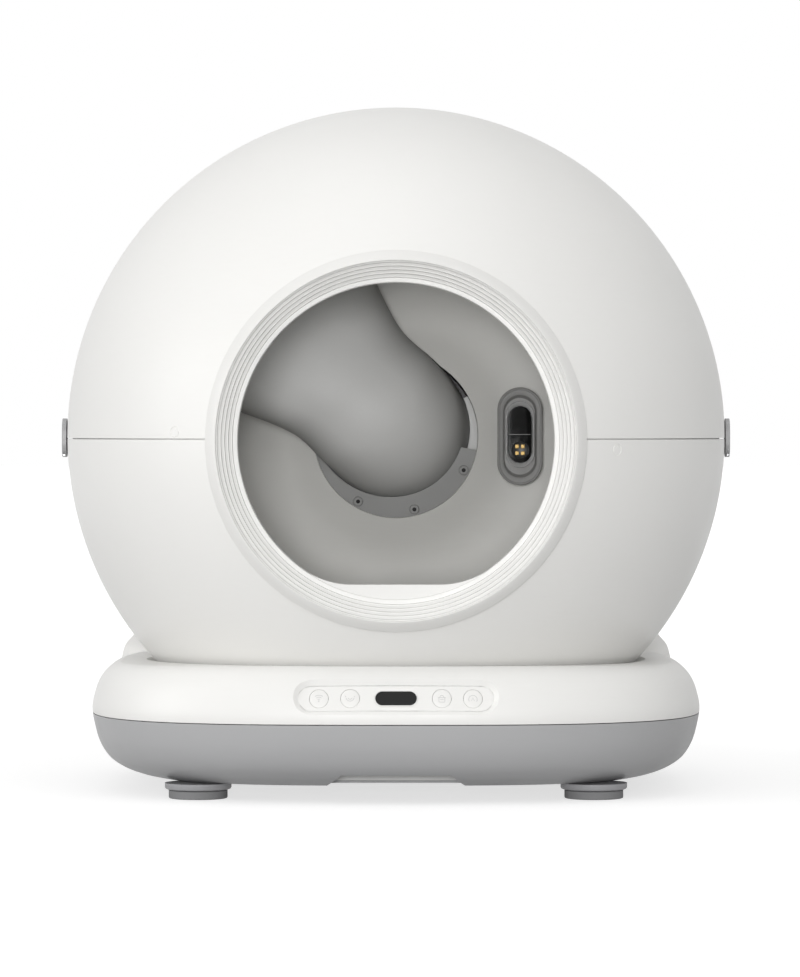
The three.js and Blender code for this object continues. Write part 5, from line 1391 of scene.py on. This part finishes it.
class LITTERBOX_OT_panel(bpy.types.Operator):
    """Builds the sunk control panel with its buttons, icons and display"""

    bl_idname = "litterbox.panel"
    bl_label = "Control panel"

    def execute(self, context):
        panel, looks = settings().panel, finishes()
        self.plate(panel, looks)
        self.display(panel, looks)
        bodies = ("wifi_button", "level_button", "empty_button", "cycle_button")
        for number, (body, x) in enumerate(zip(bodies, BUTTON_PLACES), 1):
            self.button(number, body, x, panel, looks)
        return {"FINISHED"}

    def plate(self, panel, looks):
        """White plate with the buttons' holes and the display's window."""
        plate = pill("panel_plate", panel.width - 2 * panel.end_slope + 1 * MM,
                     panel.height - 2 * panel.slope + 1 * MM, panel.sink, panel.sink + 3 * MM, 0, 160, 8)
        for x in BUTTON_PLACES:
            combine(plate, rod("hole", panel.button_radius, -OVERRUN, LONG_OVERRUN, (x, 0, 0), 72))
        combine(plate, pill("window", panel.display_width + WINDOW_LAND, panel.display_height + WINDOW_LAND,
                            -OVERRUN, LONG_OVERRUN, 0, 72))
        soften(plate, 0.25 * MM, 2, 50)
        on_front(plate)
        smooth(plate, 34)
        finish(plate, "base", "white_shell", looks["shell"], "control_panel")

    def display(self, panel, looks):
        """Dark display with a fine white lip round it."""
        sink, wide, high = panel.sink, panel.display_width, panel.display_height
        lip = pill("display_lip", wide + LIP_LAND, high + LIP_LAND, sink - 0.35 * MM, sink + CAP_DEPTH, 0, 72)
        combine(lip, pill("lip_hole", wide, high, -OVERRUN, LONG_OVERRUN, 0, 72))
        soften(lip, 0.2 * MM, 2, 50)
        on_front(lip)
        smooth(lip, 34)
        finish(lip, "base", "white_shell", looks["ring"])
        display = pill("display_cover", wide - 0.3 * MM, high - 0.3 * MM,
                       sink - 0.1 * MM, sink + 2.2 * MM, 0, 72)
        soften(display, 0.5 * MM, 3, 50)
        on_front(display)
        smooth(display, 34)
        finish(display, "base", "gloss_black", looks["black"], "display_lens")

    def button(self, number, body, x, panel, looks):
        """One round button with its icon."""
        radius, sink = panel.button_radius - 0.2 * MM, panel.sink
        face, back = sink - 0.02 * MM, sink + CAP_DEPTH
        outline = [(0, face), (radius * 0.5, face), (radius - 0.4 * MM, face),
                   (radius - 0.1 * MM, sink + 0.1 * MM), (radius, sink + 0.45 * MM),
                   (radius, back), (0, back)]
        cap = turned("button_%d_cap" % number, outline, (x, 0, 0), 72, closed=False)
        on_front(cap)
        smooth(cap, 34)
        finish(cap, body, "white_shell", looks["shell"], "button_%d" % number)
        icon = self.icon(number)
        place(icon, Matrix.Translation((x, sink - 0.05 * MM, 0)))
        on_front(icon)
        smooth(icon, 34)
        finish(icon, body, "light_grey", looks["icon"])

    def strokes(self, number):
        """Lines of a generic icon: waves of a signal, two nested bowls, a bin, or an arc over a peak."""
        if number == 1:
            waves = [self.bow(-1.6, radius, 52, 128, 14) for radius in (1.4, 2.7, 4.0)]
            return waves + [arc(0, -1.6, 0.35, 0, 5.2, 8)]
        if number == 2:
            return [self.bow(0.9, 2.6, 190, 350, 16), self.bow(0.9, 1.4, 200, 340, 10),
                    [(-2.6, 0.9), (-3.1, 1.7)], [(2.6, 0.9), (3.1, 1.7)]]
        if number == 3:
            return [[(-1.9, 0.6), (-1.9, -2.1), (-1.6, -2.4), (1.6, -2.4), (1.9, -2.1), (1.9, 0.6)],
                    [(-2.6, 0.6), (2.6, 0.6)], self.bow(0.8, 1.3, 0, 180, 12), [(-1.2, -0.6), (1.2, -0.6)]]
        return [self.bow(-0.4, 2.7, -30, 210, 24), [(-0.9, -1.4), (0, 0.9), (0.9, -1.4)],
                [(2.3, -1.7), (2.9, -0.9)]]

    def bow(self, height, radius, start, end, steps):
        """Arc round a point on an icon's middle line, from angle to angle in degrees."""
        return arc(0, height, radius, math.radians(start), math.radians(end), steps)

    def icon(self, number):
        """Generic line icon, drawn as thin raised strips."""
        points, faces = [], []
        for stroke in self.strokes(number):
            base, last = len(points), len(points) + 4 * (len(stroke) - 1)
            for i, (x, z) in enumerate(stroke):
                before, after = Vector(stroke[max(i - 1, 0)]), Vector(stroke[min(i + 1, len(stroke) - 1)])
                along = (after - before).normalized()
                for y in (0.0, ICON_RELIEF):
                    for side in (ICON_LINE / 2, -ICON_LINE / 2):
                        points.append((ICON_UNIT * x - side * along.y, y, ICON_UNIT * z + side * along.x))
            for a in range(base, last, 4):
                b = a + 4
                faces += [(a, a + 1, b + 1, b), (a + 2, b + 2, b + 3, a + 3)]
                faces += [(a, b, b + 2, a + 2), (a + 1, a + 3, b + 3, b + 1)]
            faces += [(base, base + 2, base + 3, base + 1), (last, last + 1, last + 3, last + 2)]
        return tidy(from_points("button_%d_icon" % number, points, faces=faces), 0.001 * MM)


class LITTERBOX_OT_feet(bpy.types.Operator):
    """Builds the four feet with their soft pads"""

    bl_idname = "litterbox.feet"
    bl_label = "Feet"

    def execute(self, context):
        sizes, looks = settings().base, finishes()
        for row, y in (("front", -1), ("rear", 1)):
            for side, x in (("left", -1), ("right", 1)):
                name = row + "_" + side
                spot = Matrix.Translation((x * sizes.foot_x, y * sizes.foot_y, 0))
                for label, outline, look, slot, node in (
                    ("foot_", self.flange(sizes.foot_radius), "foot", "foot_grey", "foot_"),
                    ("pad_", self.pad(sizes.pad_radius), "pad", "rubber_grey", "foot_pad_"),
                ):
                    piece = turned(label + name + "_cover", outline, (0, 0, 0), 72, closed=False)
                    place(piece, spot @ Matrix.Rotation(math.pi / 2, 4, "X"))
                    tidy(piece)
                    smooth(piece, 34)
                    finish(piece, "base", slot, looks[look], node + name)
        return {"FINISHED"}

    def flange(self, radius):
        """Outline of a foot's flange with its rounded lower edge: radius and height."""
        low, high = 7 * MM, 12.6 * MM
        return [(0, low), (radius - 5.3 * MM, low), (radius - 2.8 * MM, low + 0.1 * MM),
                (radius - 0.7 * MM, low + 0.9 * MM), (radius, low + 2.2 * MM), (radius, high), (0, high)]

    def pad(self, radius):
        """Outline of a soft pad with its rounded edges: radius and height."""
        high = 6.7 * MM
        return [(0, 0), (radius - 1.2 * MM, 0), (radius - 0.3 * MM, 0.35 * MM), (radius, 1.2 * MM),
                (radius, high - 0.3 * MM), (radius - 0.5 * MM, high), (0, high)]


class LITTERBOX_OT_drive(bpy.types.Operator):
    """Gives the drive, rollers, their brackets and the latch pins their finishes"""

    bl_idname = "litterbox.drive"
    bl_label = "Drive and rollers"

    def execute(self, context):
        looks = finishes()
        dress(looks["gear"], "drive_pinion")
        dress(looks["steel"], "gear_motor", "left_latch_pin", "right_latch_pin")
        dress(looks["lower"], "left_roller_bracket", "right_roller_bracket")
        dress(looks["roller"], "left_roller", "right_roller")
        return {"FINISHED"}


class LITTERBOX_OT_stage(bpy.types.Operator):
    """Sets the floor, the soft studio light and the camera"""

    bl_idname = "litterbox.stage"
    bl_label = "Stage"

    def execute(self, context):
        leave()
        bpy.ops.mesh.primitive_plane_add(size=60, location=(0, 0, 0))
        floor = bpy.context.object
        floor.name = "floor"
        floor.data.materials.append(self.floor_material())
        self.world()
        for lamp in LAMPS:
            self.lamp(*lamp)
        self.camera()
        bpy.context.scene.view_settings.view_transform = "Standard"
        return {"FINISHED"}

    def camera(self):
        """Level camera before the litter box, shifted to frame it as the photograph does."""
        data = bpy.data.cameras.new("camera")
        camera = bpy.data.objects.new("camera", data)
        bpy.context.scene.collection.objects.link(camera)
        camera.location = CAMERA_PLACE
        camera.rotation_euler = (math.pi / 2, 0, 0)
        data.lens = CAMERA_LENS
        data.sensor_width = 36
        data.shift_x, data.shift_y = CAMERA_SHIFT
        data.clip_end = 100
        bpy.context.scene.camera = camera

    def lamp(self, name, location, size, power):
        """A soft square lamp aimed at the globe."""
        data = bpy.data.lights.new(name, "AREA")
        data.size = size
        data.energy = power
        lamp = bpy.data.objects.new(name, data)
        bpy.context.scene.collection.objects.link(lamp)
        lamp.location = location
        aim = LAMP_TARGET - Vector(location)
        lamp.rotation_euler = aim.to_track_quat("-Z", "Y").to_euler()

    def floor_material(self):
        """Plain pale floor that reads white to the camera and keeps the shadow."""
        material = bpy.data.materials.new("pale_floor")
        material.use_nodes = True
        tree = material.node_tree
        shader = tree.nodes["Principled BSDF"]
        shader.inputs["Base Color"].default_value = (FLOOR_GREY, FLOOR_GREY, FLOOR_GREY, 1)
        shader.inputs["Roughness"].default_value = 0.9
        shader.inputs["Specular IOR Level"].default_value = 0.1
        shader.inputs["Emission Color"].default_value = (1, 1, 1, 1)
        coordinates = tree.nodes.new("ShaderNodeTexCoord")
        away = tree.nodes.new("ShaderNodeVectorMath")
        away.operation = "LENGTH"
        far = tree.nodes.new("ShaderNodeMapRange")
        far.inputs["From Min"].default_value = FLOOR_NEAR
        far.inputs["From Max"].default_value = FLOOR_FAR
        far.inputs["To Min"].default_value = FLOOR_GLOW
        far.inputs["To Max"].default_value = 1.0
        tree.links.new(coordinates.outputs["Object"], away.inputs[0])
        tree.links.new(away.outputs["Value"], far.inputs["Value"])
        glow = sums(tree, "MULTIPLY", self.seen(tree), far.outputs["Result"])
        tree.links.new(glow, shader.inputs["Emission Strength"])
        return material

    def seen(self, tree):
        """1 for rays from the camera, mirrored or through glass, and 0 for the soft light on the object."""
        path = tree.nodes.new("ShaderNodeLightPath").outputs
        straight = sums(tree, "MAXIMUM", path["Is Camera Ray"], path["Is Glossy Ray"])
        return sums(tree, "MAXIMUM", straight, path["Is Transmission Ray"])

    def world(self):
        """White to the camera, soft light on the object that falls off behind and below it."""
        world = bpy.data.worlds.new("studio")
        bpy.context.scene.world = world
        world.use_nodes = True
        tree = world.node_tree
        background = tree.nodes["Background"]
        background.inputs["Color"].default_value = (1, 1, 1, 1)
        strength = tree.nodes.new("ShaderNodeMapRange")
        strength.inputs["To Max"].default_value = 1.0
        direction = tree.nodes.new("ShaderNodeTexCoord")
        toward = tree.nodes.new("ShaderNodeVectorMath")
        toward.operation = "DOT_PRODUCT"
        toward.inputs[1].default_value = SKY_SIDE
        soft = tree.nodes.new("ShaderNodeMapRange")
        soft.inputs["From Min"].default_value = -1.0
        soft.inputs["To Min"].default_value = SKY_BEHIND
        soft.inputs["To Max"].default_value = SKY_BEFORE
        tree.links.new(direction.outputs["Generated"], toward.inputs[0])
        tree.links.new(toward.outputs["Value"], soft.inputs["Value"])
        tree.links.new(soft.outputs["Result"], strength.inputs["To Min"])
        tree.links.new(self.seen(tree), strength.inputs["Value"])
        tree.links.new(strength.outputs["Result"], background.inputs["Strength"])


class LITTERBOX_PT_tools(bpy.types.Panel):
    """Buttons and sizes of the litter box in the sidebar"""

    bl_label = "Litter Box"
    bl_idname = "LITTERBOX_PT_tools"
    bl_space_type = "VIEW_3D"
    bl_region_type = "UI"
    bl_category = "Litter Box"

    def draw(self, context):
        for operator in OPERATORS:
            self.layout.operator(operator.bl_idname)
        for name in ("globe", "ring", "drum", "sensor", "base", "panel", "colours"):
            box = self.layout.box()
            box.label(text=name.capitalize())
            group = getattr(context.scene.litter_box, name)
            for key in group.__annotations__:
                box.prop(group, key)


OPERATORS = (
    LITTERBOX_OT_globe, LITTERBOX_OT_ring, LITTERBOX_OT_drum, LITTERBOX_OT_chute,
    LITTERBOX_OT_sensor, LITTERBOX_OT_base, LITTERBOX_OT_panel, LITTERBOX_OT_feet,
    LITTERBOX_OT_drive, LITTERBOX_OT_stage,
)
CLASSES = (
    GlobeSizes, RingSizes, DrumSizes, SensorSizes, BaseSizes, PanelSizes, Colours,
    LitterBoxSettings, *OPERATORS, LITTERBOX_PT_tools,
)


def register():
    for item in CLASSES:
        bpy.utils.register_class(item)
    bpy.types.Scene.litter_box = bpy.props.PointerProperty(type=LitterBoxSettings)


def unregister():
    del bpy.types.Scene.litter_box
    for item in reversed(CLASSES):
        bpy.utils.unregister_class(item)


def main():
    """Builds the whole litter box."""
    register()
    for operator in OPERATORS:
        group, name = operator.bl_idname.split(".")
        result = getattr(getattr(bpy.ops, group), name)()
        if result != {"FINISHED"}:
            raise RuntimeError(operator.bl_idname + " did not finish")
    leave()


if __name__ == "__main__":
    main()
